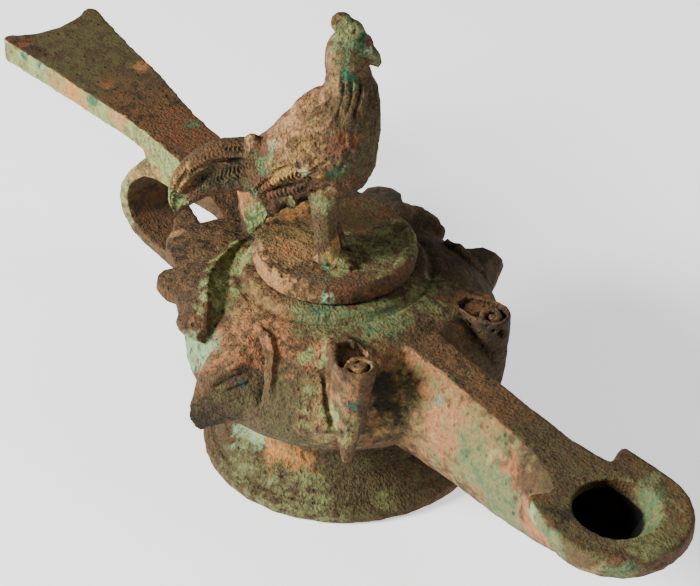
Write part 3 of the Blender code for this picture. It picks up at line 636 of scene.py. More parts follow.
BODY_PATCHES = (
    # thumb plate
    Patch(-100, 0, 44, UP, 26, T.OLIVE, T.UMBER),
    Patch(-104, -9.8, 44.4, UP, 3.5, T.RUSSET, T.DARK),
    Patch(-100, -9, 44.2, UP, 3, T.UMBER, T.DARK),
    Patch(-81, -2.7, 43.3, UP, 1.6, T.RUSSET, T.SALMON),
    Patch(-82.4, 7.4, 43.3, UP, 2.6, T.SALMON, T.RUSSET),
    Patch(-66, -1, 42.5, UP, 11, T.BROWN, T.DARK),
    Patch(-56, 1, 42, UP, 12, T.BROWN, T.RUSSET),
    Patch(-53, -5.8, 41.8, UP, 4, T.UMBER, T.RUSSET),
    Patch(-58, 3.4, 42, UP, 2, T.MALACHITE, T.UMBER),
    Patch(-85, -10, 41, NEAR, 34, T.PALE_GREEN, T.SAGE),
    Patch(-89, -9.1, 41, NEAR, 5, T.TAN, T.PALE_GREEN),
    Patch(-84, -8.5, 41, NEAR, 4.5, T.OCHRE, T.ORANGE),
    Patch(-101, -10.7, 43, NEAR, 1.6, T.TEAL, T.PALE_GREEN),
    Patch(-95, -9.9, 43.7, NEAR, 1.8, T.TEAL, T.MINT),
    Patch(-78.7, -7.9, 42.6, NEAR, 2, T.TEAL, T.MALACHITE),
    Patch(-70, -6.6, 41.6, NEAR, 3.5, T.PINK, T.ORANGE),
    Patch(-56, -6, 39, NEAR, 12, T.PALE_GREEN, T.SAGE),
    Patch(-61, -6, 31, NEAR, 8, T.OCHRE, T.OLIVE),
    # shoulder crests
    Patch(-26, -19, 38, UP, 16, T.BROWN, T.DARK),
    Patch(-20, -14, 38, (0.9, 0.4, 0.2), 16, T.OLIVE, T.DARK),
    Patch(-12, -26, 38, UP, 12, T.UMBER, T.BROWN),
    Patch(-4, 30, 35, UP, 24, T.UMBER, T.DARK),
    # dome
    Patch(-15.7, -13.2, 38.5, UP, 6, T.PALE_GREEN, T.TAN),
    Patch(-9, -22, 37, UP, 6, T.PALE_GREEN, T.SAGE),
    Patch(-4.5, -27.5, 33.5, (0.2, -0.5, 0.8), 2.2, T.MINT, T.EMERALD),
    Patch(0, -18, 38, UP, 10, T.TAN, T.BROWN),
    Patch(5, -24, 36, (0.3, -0.6, 0.7), 9, T.SALMON, T.BROWN),
    Patch(16, -23, 32, (0.5, -0.6, 0.5), 7, T.RUSSET, T.SALMON),
    Patch(10, -13, 39, UP, 7, T.OLIVE, T.SAGE),
    Patch(16, -3, 38.6, UP, 8, T.SAGE, T.MALACHITE),
    Patch(9.5, -10.2, 39.9, VIEW, 4, T.MALACHITE, T.SAGE),
    Patch(17, 8, 38, UP, 8, T.SAGE, T.UMBER),
    Patch(17, -25, 25, (0.6, -0.7, 0.1), 13, T.OLIVE, T.OLIVE),
    # near lug
    Patch(-1, -29, 33, (-0.2, -0.5, 0.85), 7, T.SALMON, T.BROWN),
    # front facet: its own olive-brown crust, painted darker as the shade of a facet turned from the light
    Patch(7.5, -30, 28, (0.72, -0.65, 0.1), 7, T.UMBER, T.OLIVE),
    Patch(8.2, -29.2, 30.6, (0.72, -0.65, 0.1), 1.2, T.EMERALD, T.DARK),
    # painted shadow under the lug's tip
    Patch(3.8, -35.4, 22.5, (0.7, -0.7, 0), 5, T.DARK, T.SOOT),
    Patch(-5, -29.5, 30, (-0.3, -0.9, 0.3), 5.5, T.MINT, T.PALE_GREEN),
    Patch(-12, -27, 27, (-0.5, -0.8, 0.1), 6, T.MINT, T.PALE_GREEN),
    # painted shadow under the lug's tip
    Patch(4, -35, 23.5, (0.75, -0.65, 0), 5, T.DARK, T.DARK),
    # near scroll
    Patch(25.5, -18, 27, (0.8, -0.6, 0), 12, T.BROWN, T.UMBER),
    Patch(22, -20, 27, (0.3, -0.9, 0), 8, T.TAN, T.PALE_GREEN),
    Patch(27, -18, 32, VIEW, 2.4, T.TEAL, T.OLIVE),
    Patch(15, -17, 37, VIEW, 4, T.SALMON, T.PALE_GREEN),
    # far scroll and far side
    Patch(27, 16, 30, FRONT, 14, T.UMBER, T.DARK),
    Patch(20, 15, 38, UP, 6, T.BROWN, T.RUSSET),
    # nozzle top, disc and side
    Patch(30, 2, 36.8, UP, 14, T.BROWN, T.UMBER),
    Patch(46, 1, 36.2, UP, 12, T.BROWN, T.UMBER),
    Patch(60, 1, 35.8, UP, 10, T.UMBER, T.OLIVE),
    Patch(78, -3, 35.3, UP, 15, T.OLIVE, T.UMBER),
    Patch(75, -7, 35.3, UP, 5, T.DARK, T.OLIVE),
    Patch(88, -2, 34.8, UP, 6, T.SAGE, T.OLIVE),
    Patch(88, 6, 35, UP, 7, T.BROWN, T.OLIVE),
    Patch(86, 3, 31, (-0.9, -0.2, 0.3), 8, T.SAGE, T.MALACHITE),
    Patch(88.5, -4, 34.5, UP, 4, T.OLIVE, T.SAGE),
    Patch(32, -7, 30, (0, -0.9, 0.2), 16, T.SALMON, T.SAGE),
    Patch(28, -9, 28, (0.3, -0.9, 0.2), 8, T.OLIVE, T.TAN),
    Patch(40, -6.5, 30, NEAR, 7, T.SALMON, T.PINK),
    Patch(50, -7, 28, NEAR, 12, T.TAN, T.SAGE),
    Patch(49, -7, 27, NEAR, 6, T.SAGE, T.MALACHITE),
    Patch(54, -7, 31, NEAR, 3, T.PALE_GREEN, T.SALMON),
    Patch(36, -5.5, 33.5, NEAR, 1.3, T.MINT, T.TEAL),
    Patch(58, -7.2, 30, NEAR, 5, T.SALMON, T.RUSSET),
    Patch(58, -8, 23, NEAR, 8, T.SAGE, T.MALACHITE),
    Patch(68, -9, 27, NEAR, 5, T.SALMON, T.TAN),
    Patch(71, -12, 33, (-0.4, -0.9, 0), 4, T.MINT, T.PALE_GREEN),
    Patch(82, -13, 33.5, NEAR, 9, T.OLIVE, T.BROWN),
    Patch(75, -12.5, 33.5, NEAR, 3.5, T.SAGE, T.MALACHITE),
    Patch(85, -11, 31, NEAR, 3, T.TAN, T.OLIVE),
    Patch(88, 7, 31, (-0.9, -0.3, 0.2), 6, T.SAGE, T.OLIVE),
    Patch(80, 7, 33, (-0.2, -0.9, 0.4), 5, T.SAGE, T.MALACHITE),
    Patch(77, -14, 32.5, (-0.2, -0.9, 0.2), 4, T.SAGE, T.MALACHITE),
    Patch(89, -9, 31.5, (0.6, -0.8, 0.1), 4, T.SAGE, T.EMERALD),
    Patch(82, 11, 35, UP, 4, T.BROWN, T.OLIVE),
    # ears and the root of the handle
    Patch(-26, -6, 43, (-0.2, -0.9, 0.3), 3.5, T.SALMON, T.TAN),
    Patch(-22.5, -4, 41, (0.6, -0.6, 0.3), 4, T.PALE_GREEN, T.MALACHITE),
    Patch(-21, 3, 41, (0.6, -0.4, 0.3), 4, T.PALE_GREEN, T.SAGE),
    Patch(-33.8, -16.6, 36.5, UP, 1.8, T.PINK, T.TAN),
    # foot
    Patch(9, -12, 5, (0.3, -0.6, 0.7), 30, T.UMBER, T.OLIVE),
    Patch(21, -14, 4, (0.5, -0.3, 0.6), 12, T.OLIVE, T.UMBER),
    Patch(-2, -21, 8, (0, -0.7, 0.7), 5.5, T.MINT, T.PALE_GREEN),
    Patch(6, -20, 9, (0.2, -0.7, 0.6), 5, T.ORANGE, T.OCHRE),
    Patch(11, -18.5, 8, (0.3, -0.6, 0.6), 5, T.ORANGE, T.TAN),
    Patch(1, -26, 4, VIEW, 6, T.OLIVE, T.SAGE),
    Patch(14, -22, 1.5, (0.3, -0.9, 0.1), 9, T.SAGE, T.UMBER),
    Patch(24, -8, 3, (0.7, -0.2, 0.6), 2.5, T.SAGE, T.OLIVE),
    # painted shadow that the near scroll casts on the nozzle's root
    Patch(25.4, -10.4, 32, (0.5, -0.4, 0.6), 4.2, T.DARK, T.DARK),
    Patch(26, -10.2, 28, (0.5, -0.8, 0), 4.2, T.DARK, T.DARK),
)


@dataclass
class LampBody:
    """The lamp's one large casting: foot, globe, nozzle, scrolls, lugs, crests, ears and handle."""

    voxel: float = 0.3
    seat_middle: tuple[float, float] = (-3.0, 0.0)
    wick_middle: tuple[float, float] = (79.4, -1.1)
    triangles: int = 196000  # the most that may stay
    hole_shade_reach: tuple[float, float] = (8.3, 8.9)  # radii where the painted shade that blackens the deep wick hole ends
    hole_shade_height: tuple[float, float] = (30.9, 31.6)  # heights where it ends
    # hollows behind the scrolls' curls: x, y, reach, floor and the level that silt fills them to
    silt: tuple[tuple[float, ...], ...] = ((18.7, -13.9, 2.8, 34.0, 37.2), (19.6, 15.4, 4.6, 32.0, 36.3))
    # turned rings: height, radius and half the width
    seat_rings: tuple[Point, ...] = ((0.55, 16.9, 0.9), (-0.45, 18.6, 0.6))
    foot_rings: tuple[Point, ...] = ((-0.35, 21.5, 0.5), (-0.4, 26.2, 0.5), (0.3, 24.2, 1.1))
    reservoir: tuple[tuple[float, float], ...] = (
        (17.0, 17.4), (18.3, 21.8), (19.9, 25.2), (21.9, 27.4), (24.4, 28.3), (27.6, 27.2),
        (30.8, 25.2), (33.2, 22.8), (34.7, 20.2), (35.6, 17.2), (36.0, 12.0),
    )  # heights of its wall and the radius there
    patches: tuple[Patch, ...] = BODY_PATCHES

    def build(self) -> bpy.types.Object:
        """Recast, carve, paint and dress the body.

        Returns:
            The finished piece.
        """
        piece = recast("lamp_body", "body_casting", self.voxel)
        skin = Skin(piece)
        self.carve(skin)
        skin.write()
        thin_out(piece, self.plain(skin), self.triangles)
        skin.read()
        skin.write()
        self.paint(skin)
        piece.data.materials.append(BronzeCrust("bronze body, brown and green crust").material())
        return finish_piece(piece, "lamp_body")

    def plain(self, skin: Skin) -> Array:
        """Mark the inside of the reservoir and the hollow of the foot, which nothing shows.

        Args:
            skin: The surface.

        Returns:
            1 for each point there, and 0 for the others.
        """
        height = skin.points[:, 2]
        away = np.hypot(skin.points[:, 0], skin.points[:, 1])
        levels, radii = zip(*self.reservoir)
        inside = (away < np.interp(height, levels, radii) + 0.6) & (height > 16.4) & (height < 36.5)
        under = (away < 26.0) & (height < 12.0) & (skin.normals[:, 2] < -0.2)
        return (inside | under).astype(float)

    def carve(self, skin: Skin) -> None:
        """Cut veins, grooves and the crust's own relief.

        Args:
            skin: The surface.
        """
        self.fill_curl(skin)
        self.turn_mouldings(skin)
        skin.carve(BODY_MARKS)
        points = skin.points
        rough = 0.15 * noise(points, 3.4, 11, 3) + 0.11 * noise(points, 1.5, 12, 2)
        away = np.hypot(points[:, 0], points[:, 1])
        crest = smooth_step(away, 22.0, 25.0) * smooth_step(points[:, 2], 35.5, 38.0)
        crest *= smooth_step(-points[:, 0], -16.0, -8.0) * smooth_step(points[:, 0], -48.0, -44.0)
        rough += 0.4 * crest * noise(points, 1.7, 13, 2)
        skin.push(rough * (1.0 - self.plain(skin)))

    def fill_curl(self, skin: Skin) -> None:
        """Silt up the hollow behind each scroll's curl.

        Args:
            skin: The surface.
        """
        points = skin.points
        for x, y, reach, floor, level in self.silt:
            inside = np.hypot(points[:, 0] - x, points[:, 1] - y) < reach
            inside &= (np.abs(points[:, 0] - x) < 3.0) & (points[:, 2] > floor) & (points[:, 2] < level)
            points[inside & (skin.hollowness(6) > -0.3), 2] = level
        skin.refresh()

    def turn_mouldings(self, skin: Skin) -> None:
        """Ring the seat under the lid, and groove the foot.

        Args:
            skin: The surface.
        """
        points = skin.points
        seat = np.hypot(points[:, 0] - self.seat_middle[0], points[:, 1] - self.seat_middle[1])
        shoulder = smooth_step(points[:, 2], 36.0, 38.0) * smooth_step(skin.normals[:, 2], 0.3, 0.7)
        ring = sum(high * np.exp(-(((seat - radius) / width) ** 2)) for high, radius, width in self.seat_rings)
        away = np.hypot(points[:, 0], points[:, 1])
        foot = smooth_step(-points[:, 2], -12.0, -9.0) * smooth_step(skin.normals[:, 2], 0.0, 0.4)
        steps = sum(high * np.exp(-(((away - radius) / width) ** 2)) for high, radius, width in self.foot_rings)
        on_globe = 1.0 - smooth_step(away, 21.0, 23.5)
        skin.push(shoulder * ring * on_globe + foot * steps)
        skin.refresh()

    def paint(self, skin: Skin) -> None:
        """Lay the patches, and near-black painted shade in the deep wick hole.

        Args:
            skin: The surface.
        """
        patina = PatinaMap(skin)
        points = skin.points
        patina.wash(smooth_step(points[:, 1], 4.0, 14.0) * 0.7, T.UMBER, T.DARK)
        for patch in self.patches:
            patina.lay(patch)
        # painted shade: the wick hole is blackened below its rim, standing in for its dark depth
        away = np.hypot(points[:, 0] - self.wick_middle[0], points[:, 1] - self.wick_middle[1])
        below = 1.0 - smooth_step(points[:, 2], *self.hole_shade_height)
        patina.wash((1.0 - smooth_step(away, *self.hole_shade_reach)) * below, T.SOOT, T.SOOT)
        handle = smooth_step(-points[:, 0], 60.0, 78.0)
        nozzle = smooth_step(points[:, 0], 30.0, 50.0)
        store_marks(skin, patina, np.clip(0.25 + 0.7 * handle + 0.3 * nozzle, 0.0, 1.0))


def store_marks(skin: Skin, patina: PatinaMap, calm: Array) -> None:
    """Write the painted colours, the crevices (painted shade and a little green bloom) and how calm the crust is
    into the mesh.

    Args:
        skin: The surface.
        patina: Its painted colours.
        calm: For each point, 1 where the crust is even and 0 where it is rough.
    """
    ones = np.ones(len(skin.points))
    worn = smooth_step(-skin.hollowness(5), 0.04, 0.22)[:, None]
    skin.attribute("crust", np.column_stack([patina.crust * (1.0 + 0.45 * worn), ones]))
    skin.attribute("mottle", np.column_stack([patina.mottle * (1.0 + 0.6 * worn), ones]))
    # crevices: the material darkens them as painted shade, and the second channel gives them green bloom
    shaded_crevice = smooth_step(skin.hollowness(6), 0.03, 0.28)
    skin.attribute("marks", np.column_stack([shaded_crevice, 0.35 * shaded_crevice, calm, ones]))


OUTER_QUILL = ((-10.5, -15, 69), (-12.7, -17.8, 68.8), (-14.8, -20.8, 67.6), (-17, -23.2, 65.4),
               (-18.6, -25, 62), (-19.4, -25.6, 58), (-19.7, -25.2, 54.8))
SECOND_QUILL = ((-9.9, -16, 67.8), (-12, -18.8, 67.3), (-13.7, -21.3, 65.7), (-16.1, -22.9, 62.7),
                (-17.4, -24.4, 59.5), (-19, -24.4, 55.4))
INNER_QUILL = ((-5.5, -14.7, 66.1), (-9.6, -16.1, 63.2), (-12.1, -18.5, 61.5), (-14.2, -21, 59.4),
               (-16.4, -22.7, 56.7))
WING_UPPER = ((0.8, -11, 65.6), (-2.2, -13.1, 64), (-4.8, -14.9, 61.3), (-6.8, -15.6, 59.2))
WING_LOWER = ((0.8, -9.8, 62.2), (-2.2, -12.2, 60.9), (-5.4, -14.4, 58.9))
BIRD_MARKS = (
    # tail: two long barbed feathers with a deep trough between them and the band below
    Mark(((-10.7, -15.2, 68.2), (-12.6, -17.9, 67.8), (-14.1, -20.7, 66.5), (-15.7, -22.8, 64.4),
          (-17.3, -24.3, 61.1), (-18.4, -25.2, 57.5), (-19.4, -24.9, 54.7)), 0.35, -0.5),
    Mark(SECOND_QUILL, 0.55, 0.3),
    Mark(((-7.6, -15.8, 66.9), (-10.4, -17.5, 65.5), (-12.4, -20, 64.3), (-15.1, -20.9, 61.1),
          (-16.9, -22.8, 58.1), (-18.3, -24.2, 55.2)), 0.9, -0.9),
    Mark(OUTER_QUILL, 0.9, 0.2, 0.85),
    Mark(SECOND_QUILL, 0.7, 0.2, 0.85),
    Mark(INNER_QUILL, 1.5, 0.2, 0.85),
    # wing: two bands of barbs, knobbed at the shoulder
    Mark(((1.1, -11.1, 67.4), (-1.9, -13.2, 66), (-4.2, -14.8, 62.8), (-6.5, -15.7, 59.9)), 0.5, -0.8),
    Mark(((0.5, -10.7, 63.7), (-2.4, -12.9, 62), (-5.3, -15, 59.8)), 0.45, -0.7),
    Mark(WING_UPPER, 0.8, 0.55),
    Mark(WING_LOWER, 0.8, 0.45),
    Mark(WING_UPPER, 1, 0.28, 0.85),
    Mark(WING_LOWER, 1, 0.28, 0.85),
    Mark(((2.7, -9.8, 68), (2.4, -10, 67.6)), 0.9, 0.6),
    Mark(((4.1, -8.3, 66.9), (3.9, -8.4, 66.3)), 1, 0.7),
    Mark(((1.9, -6.8, 61.9), (2.1, -6.9, 61.3)), 1.1, 0.6),
    Mark(((2.3, -9, 64.2), (1.8, -10.3, 65.6)), 0.5, -0.8),
    Mark(((7.5, -4.1, 72.1), (7.2, -5.2, 69.8), (6, -5.9, 66.7)), 0.4, -0.5),
    # hackles down the neck and breast
    Mark(((4.4, -3.1, 84.6), (4.8, -3.8, 81.5), (5, -4.9, 78.9), (5.1, -5.8, 77)), 0.32, -0.45),
    Mark(((5.8, -0.8, 85.5), (6.4, -0.9, 82.1), (6.8, -2.5, 78.9), (6.9, -3.2, 76.9)), 0.32, -0.45),
    Mark(((5.6, 0.9, 84.8), (6.6, 1, 81.5), (7.5, -0.5, 77.9), (7.8, -1.6, 74.5)), 0.32, -0.45),
    Mark(((5.5, 2.3, 83.2), (6.6, 2.4, 79.4), (7.5, 1.5, 74.9), (7.5, 0.7, 70.5)), 0.32, -0.45),
    Mark(((2.5, -4.4, 83.9), (2.7, -5, 81), (3, -6.1, 78.9)), 0.32, -0.35),
    Mark(((5.2, -2.1, 84.8), (5.8, -2.6, 81.6), (6.1, -3.9, 78.4)), 0.32, -0.45),
    Mark(((-0.6, -9.3, 75.8), (2.1, -9, 74.5), (3.9, -8.6, 71.9)), 0.35, -0.25),
    Mark(((-3, -11, 73.2), (0.5, -10.5, 72.6), (2.3, -10.1, 70.2)), 0.35, -0.25),
    # head: eye, nostril, mouth, wattle and the nicks of the comb
    Mark(((4.6, -0.9, 91.2), (4.6, -0.8, 91)), 0.75, 0.3),
    Mark(((4.7, -0.9, 91.2), (4.7, -0.9, 91.1)), 0.3, -0.5),
    Mark(((5.5, 0.7, 89.2), (5.7, 1.3, 88.9)), 0.3, -0.4),
    Mark(((5.5, -0.2, 88.6), (5.6, 1.3, 87.5), (6.2, 2.2, 87)), 0.25, -0.35),
    Mark(((4.9, -1.6, 87.6), (5.3, -1.4, 86.2)), 0.7, 0.8),
    Mark(((2, 0.2, 94.9), (2.6, -1.3, 93.5)), 0.3, -0.4),
    Mark(((3.2, 0.9, 94.2), (3.7, -0.8, 92.6)), 0.3, -0.4),
    Mark(((4.2, 1.4, 92.5), (4.8, -0.3, 91.3)), 0.3, -0.3),
    # stub on the back, thigh, leg and toes
    Mark(((-8.9, -14.2, 69.8), (-8.6, -14.2, 69.9)), 1.2, 0.5),
    Mark(((-8.9, -14.6, 69.6), (-8.6, -14.6, 69.7)), 1, 0.5),
    Mark(((-6.4, -13.6, 69.8), (-4.6, -13, 69.6)), 1.6, 0.6),
    Mark(((4.4, -4.9, 61.6), (3, -6, 58.6)), 2.4, 0.9),
    Mark(((3.1, -6, 58.3), (2.8, -5.9, 54.7), (2.7, -5.7, 50.6), (3.6, -4.9, 46.9)), 2, 0.45),
    Mark(((3.6, -5.2, 45.9), (5, -4.2, 45.4), (6.6, -3, 44.8)), 0.7, 0.5),
    Mark(((3.2, -6, 45.8), (3.6, -8.8, 44.8)), 0.7, 0.5),
    Mark(((2.8, -6, 45.8), (0.4, -8.4, 44.8)), 0.7, 0.5),
)


LID_PATCHES = (
    Patch(-8, -6, 44.3, UP, 10, T.TAN, T.OLIVE),
    Patch(3, 8, 44.3, UP, 11, T.SAGE, T.UMBER),
    Patch(-7, 9, 44.3, UP, 7, T.BROWN, T.OLIVE),
    Patch(-16.1, -0.3, 44.5, UP, 4, T.ORANGE, T.TAN),
    Patch(-5, -9, 44.5, UP, 4, T.TAN, T.SALMON),
    Patch(4, -9, 44.3, UP, 5, T.BROWN, T.GREY),
    Patch(-2, -15, 42, (-0.2, -0.95, 0.1), 8, T.PINK, T.SALMON),
    Patch(6, -12, 42, (0.6, -0.8, 0), 5, T.BROWN, T.TAN),
    Patch(8, -10, 42, (0.7, -0.7, 0), 2, T.MINT, T.CHALK),
    Patch(11, -4, 42, (0.9, -0.2, 0), 8, T.UMBER, T.RUSSET),
    # cockerel
    Patch(-2, -10, 76, (0.1, -0.8, 0.6), 13, T.PINK, T.RUSSET),
    Patch(2, -8, 77, (0.2, -0.9, 0.3), 4, T.BROWN, T.TAN),
    Patch(7, 0, 76, FRONT, 12, T.UMBER, T.OLIVE),
    Patch(7, -2, 70, (0.9, -0.4, 0), 6, T.OLIVE, T.UMBER),
    Patch(1, -8, 70, VIEW, 5, T.BROWN, T.OCHRE),
    Patch(6.2, -4.5, 73.5, (0.8, -0.6, 0.1), 3.2, T.RUSSET, T.BROWN),
    Patch(6, -5, 70.5, (0.8, -0.6, 0.1), 2.2, T.RUSSET, T.UMBER),
    Patch(4.2, -4, 79, VIEW, 4.5, T.BROWN, T.OLIVE),
    Patch(3.8, -3.6, 83.5, VIEW, 2.4, T.BROWN, T.OLIVE),
    Patch(2.4, -4.4, 84, NEAR, 3.6, T.TAN, T.BROWN),
    Patch(2.2, -3.6, 88, NEAR, 2.8, T.TAN, T.OLIVE),
    Patch(4.6, -2.3, 85.5, VIEW, 1.9, T.EMERALD, T.EMERALD),
    Patch(4.9, -2.8, 82.5, VIEW, 1.8, T.UMBER, T.MALACHITE),
    Patch(3, -1, 92.5, VIEW, 4.5, T.SAGE, T.SAGE),
    Patch(4.6, -1.5, 89, VIEW, 3, T.OLIVE, T.MALACHITE),
    Patch(4.6, -0.2, 91, VIEW, 2.1, T.EMERALD, T.SAGE),
    Patch(5.6, 1.2, 89.2, VIEW, 1.1, T.MINT, T.SAGE),
    Patch(6.2, 2.2, 87.5, VIEW, 1.3, T.SAGE, T.GREY),
    Patch(5.2, -1.5, 86.8, VIEW, 0.9, T.PINK, T.SAGE),
    Patch(-4.9, -13, 69.8, (0, -0.9, 0.5), 1.9, T.PALE_GREEN, T.MINT),
    Patch(-6.5, -13.8, 69.2, VIEW, 2.2, T.UMBER, T.RUSSET),
    Patch(-9, -14.6, 69.6, (0, -1, 0.3), 1, T.OCHRE, T.ORANGE),
    Patch(-5.5, -14.7, 66.1, VIEW, 3, T.MALACHITE, T.SAGE),
    Patch(-13, -19.5, 62, VIEW, 7, T.DARK, T.OLIVE),
    Patch(-14.5, -21.5, 66.5, VIEW, 5.5, T.BROWN, T.UMBER),
    Patch(-18.5, -25, 60, VIEW, 4, T.OCHRE, T.BROWN),
    Patch(-19.6, -25.5, 55, VIEW, 3, T.PALE_GREEN, T.MALACHITE),
    Patch(-2, -13, 65, VIEW, 4, T.OCHRE, T.OLIVE),
    Patch(-4.5, -14.8, 61.6, VIEW, 2.2, T.RUSSET, T.BROWN),
    Patch(-6.5, -15.6, 59.9, VIEW, 2, T.SAGE, T.MALACHITE),
    Patch(1, -10.5, 63, VIEW, 2, T.BROWN, T.UMBER),
    Patch(2, -9.8, 66.5, VIEW, 1.6, T.MALACHITE, T.CHALK),
    Patch(4.2, -8.2, 66.4, VIEW, 1.5, T.OCHRE, T.UMBER),
    Patch(2, -6.8, 61.8, VIEW, 1.6, T.RUSSET, T.UMBER),
    Patch(5.6, -6.2, 66.5, VIEW, 2.2, T.OLIVE, T.TEAL),
    Patch(6.6, -4.8, 69, VIEW, 1.4, T.MALACHITE, T.UMBER),
    Patch(2, -6, 58, VIEW, 4, T.SAGE, T.OLIVE),
    Patch(2.6, -6, 53, VIEW, 4, T.OLIVE, T.BROWN),
    Patch(3.6, -4.6, 49, (0.9, -0.3, 0), 2.2, T.TAN, T.ORANGE),
    Patch(3.6, -5, 46, VIEW, 3, T.SAGE, T.OCHRE),
    Patch(3.4, -6.6, 45, VIEW, 1.2, T.MINT, T.EMERALD),
)


@dataclass
class CockerelLid:
    """The lid's casting: a disc with the cockerel on it."""

    voxel: float = 0.21
    triangles: int = 190000  # the most that may stay
    middle_x: float = -3.0
    strand_depth: float = 0.34
    strand_size: float = 0.7
    crust_level: float = 44.75  # height that crust fills the sunk top to
    marks: tuple[Mark, ...] = BIRD_MARKS
    patches: tuple[Patch, ...] = LID_PATCHES

    def build(self) -> bpy.types.Object:
        """Recast, carve, paint and dress the lid.

        Returns:
            The finished piece.
        """
        piece = recast("cockerel_lid", "lid_casting", self.voxel)
        skin = Skin(piece)
        self.carve(skin)
        skin.write()
        flange = smooth_step(-skin.points[:, 2], -41.0, -39.0)
        thin_out(piece, flange, self.triangles)
        skin.read()
        skin.write()
        patina = PatinaMap(skin)
        for patch in self.patches:
            patina.lay(patch)
        store_marks(skin, patina, 0.35 - 0.35 * smooth_step(skin.points[:, 2], 45.0, 48.0))
        piece.data.materials.append(BronzeCrust("bronze lid, brown and green crust").material())
        return finish_piece(piece, "cockerel_lid")

    def carve(self, skin: Skin) -> None:
        """Hackles, feathers, the worn disc and the crust's relief.

        Args:
            skin: The surface.
        """
        self.wear_disc(skin)
        skin.carve(self.marks)
        points = skin.points
        rough = 0.09 * noise(points, 2.4, 21, 3) + 0.06 * noise(points, 1.0, 22, 2)
        skin.push(rough + self.strands(points))

    def strands(self, points: Array) -> Array:
        """Fine worn feather strands: upright on the breast, sloping back on the body.

        Args:
            points: Places in millimetres.

        Returns:
            How far each point is raised, in millimetres.
        """
        x, y, height = points[:, 0] - COCK_ORIGIN[0], points[:, 1] - COCK_ORIGIN[1], points[:, 2]
        forward = x * math.cos(HEADING) + y * math.sin(HEADING)
        aside = y * math.cos(HEADING) - x * math.sin(HEADING)
        along, across = 0.8 * forward + 0.6 * height, 0.8 * height - 0.6 * forward
        back = noise(np.column_stack([0.2 * along, across, 0.5 * aside]), self.strand_size, 31, 2)
        breast = noise(np.column_stack([forward, aside, 0.16 * height]), self.strand_size, 32, 2)
        share = smooth_step(forward, -1.0, 1.5)
        body = smooth_step(height, 59.0, 62.0) * smooth_step(-height, -88.0, -84.0)
        body *= smooth_step(forward, -13.0, -9.0)
        return self.strand_depth * body * (back * (1.0 - share) + breast * share)

    def wear_disc(self, skin: Skin) -> None:
        """Fill the sunk top with crust on one side, widen the rim and chip it there.

        Args:
            skin: The surface.
        """
        points, normals = skin.points, skin.normals
        radius = np.hypot(points[:, 0] - self.middle_x, points[:, 1])
        across = (points[:, 0] - self.middle_x) * 0.596 + points[:, 1] * 0.803
        side = smooth_step(-across, -1.0, 5.0)
        top = (radius < 13.9) & (points[:, 2] > 43.6) & (points[:, 2] < 44.8) & (normals[:, 2] > 0.1)
        points[top, 2] += (self.crust_level - points[top, 2]) * 0.85 * side[top]
        edge = smooth_step(radius, 13.0, 14.2) * smooth_step(points[:, 2], 42.2, 44.0) * (points[:, 2] < 46.0)
        chips = np.clip(noise(points, 2.2, 24, 3) + 0.15, 0.0, 1.0) * 1.3 * side * edge
        flange = smooth_step(points[:, 2], 40.2, 41.0) * (points[:, 2] < 44.9) * smooth_step(radius, 9.0, 15.0)
        points[:, 0] += 0.045 * flange * (points[:, 0] - self.middle_x)
        points[:, 1] += 0.045 * flange * points[:, 1]
        skin.refresh()
        skin.push(-chips)
        skin.refresh()


def finish_piece(piece: bpy.types.Object, node: str) -> bpy.types.Object:
    """Smooth-shade a piece, attach it to the root body and hide the CAD node that it replaces.

    Args:
        piece: The piece.
        node: The CAD node that it replaces.

    Returns:
        The same piece.
    """
    select_only(piece)
    bpy.ops.object.shade_smooth()
    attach(piece, "root")
    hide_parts(node)
    LOG.info("%s: %d triangles", piece.name, triangle_count(piece))
    return piece


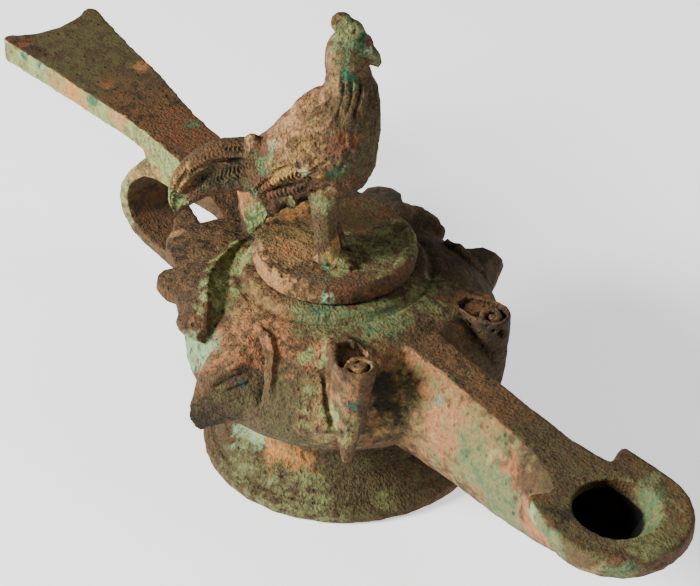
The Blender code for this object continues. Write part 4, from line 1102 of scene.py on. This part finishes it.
@dataclass
class Studio:
    """Pale floor, soft lights and the camera."""

    lens: float = 123.43
    back: Point = (0.654, -0.486, 0.580)
    right: Point = (0.596, 0.803, 0.0)
    target: Point = (0.0104, 0.0, 0.03523)
    distance: float = 0.45799
    sky: float = 0.15  # strength of the even light from all around
    glow: float = 0.8  # the card's own light, which keeps it pale under the lamp
    # name, place, watts and side in metres
    lights: tuple[tuple[str, Point, float, float], ...] = (
        ("key", (-0.27, -0.80, 0.46), 25.0, 0.32),
        ("fill", (0.50, 0.50, 0.55), 3.0, 0.5),
    )

    def build(self) -> None:
        """Lay the floor, hang the lights and set the camera."""
        self.floor()
        for name, place, power, size in self.lights:
            self.light(name, place, power, size)
        self.camera()
        world = bpy.data.worlds.new("studio")
        bpy.context.scene.world = world
        world.use_nodes = True
        sky = world.node_tree.nodes["Background"]
        sky.inputs["Color"].default_value = (1.0, 1.0, 1.0, 1.0)
        sky.inputs["Strength"].default_value = self.sky

    def floor(self) -> None:
        """Lay a plain pale floor just under the foot."""
        bpy.ops.mesh.primitive_plane_add(size=4.0, location=(0.0, 0.0, 0.0))
        floor = bpy.context.active_object
        floor.name = "floor"
        floor.data.transform(Matrix.Translation((0.0, 0.0, -0.0001)))
        # matt white card: an even pale ground that takes only a soft shadow
        paper = bpy.data.materials.new("white card, matt")
        paper.use_nodes = True
        shader = paper.node_tree.nodes["Principled BSDF"]
        shader.inputs["Base Color"].default_value = (0.93, 0.93, 0.93, 1.0)
        shader.inputs["Roughness"].default_value = 0.9
        shader.inputs["Emission Strength"].default_value = self.glow
        floor.data.materials.append(paper)

    def light(self, name: str, place: Point, power: float, size: float) -> None:
        """Hang one soft square light that faces the lamp.

        Args:
            name: Its name.
            place: Where it hangs, in metres.
            power: Its power in watts.
            size: Its side in metres.
        """
        data = bpy.data.lights.new(name, "AREA")
        data.energy = power
        data.size = size
        lamp = bpy.data.objects.new(name, data)
        bpy.context.scene.collection.objects.link(lamp)
        lamp.location = place
        lamp.rotation_euler = (Vector((0.0, 0.0, 0.03)) - Vector(place)).to_track_quat("-Z", "Y").to_euler()

    def camera(self) -> None:
        """Look down on the lamp from the near front side."""
        data = bpy.data.cameras.new("camera")
        data.lens = self.lens
        data.sensor_width = 36.0
        camera = bpy.data.objects.new("camera", data)
        bpy.context.scene.collection.objects.link(camera)
        back = Vector(self.back).normalized()
        right = Vector(self.right).normalized()
        up = back.cross(right)
        place = Vector(self.target) + back * self.distance
        rows = [(right[k], up[k], back[k], place[k]) for k in range(3)]
        camera.matrix_world = Matrix((*rows, (0.0, 0.0, 0.0, 1.0)))
        bpy.context.scene.camera = camera


def main() -> None:
    """Build and dress each piece in turn."""
    logging.basicConfig(level=logging.INFO, format="%(name)s: %(message)s")
    Studio().build()
    LampBody().build()
    CockerelLid().build()


if __name__ == "__main__":
    main()
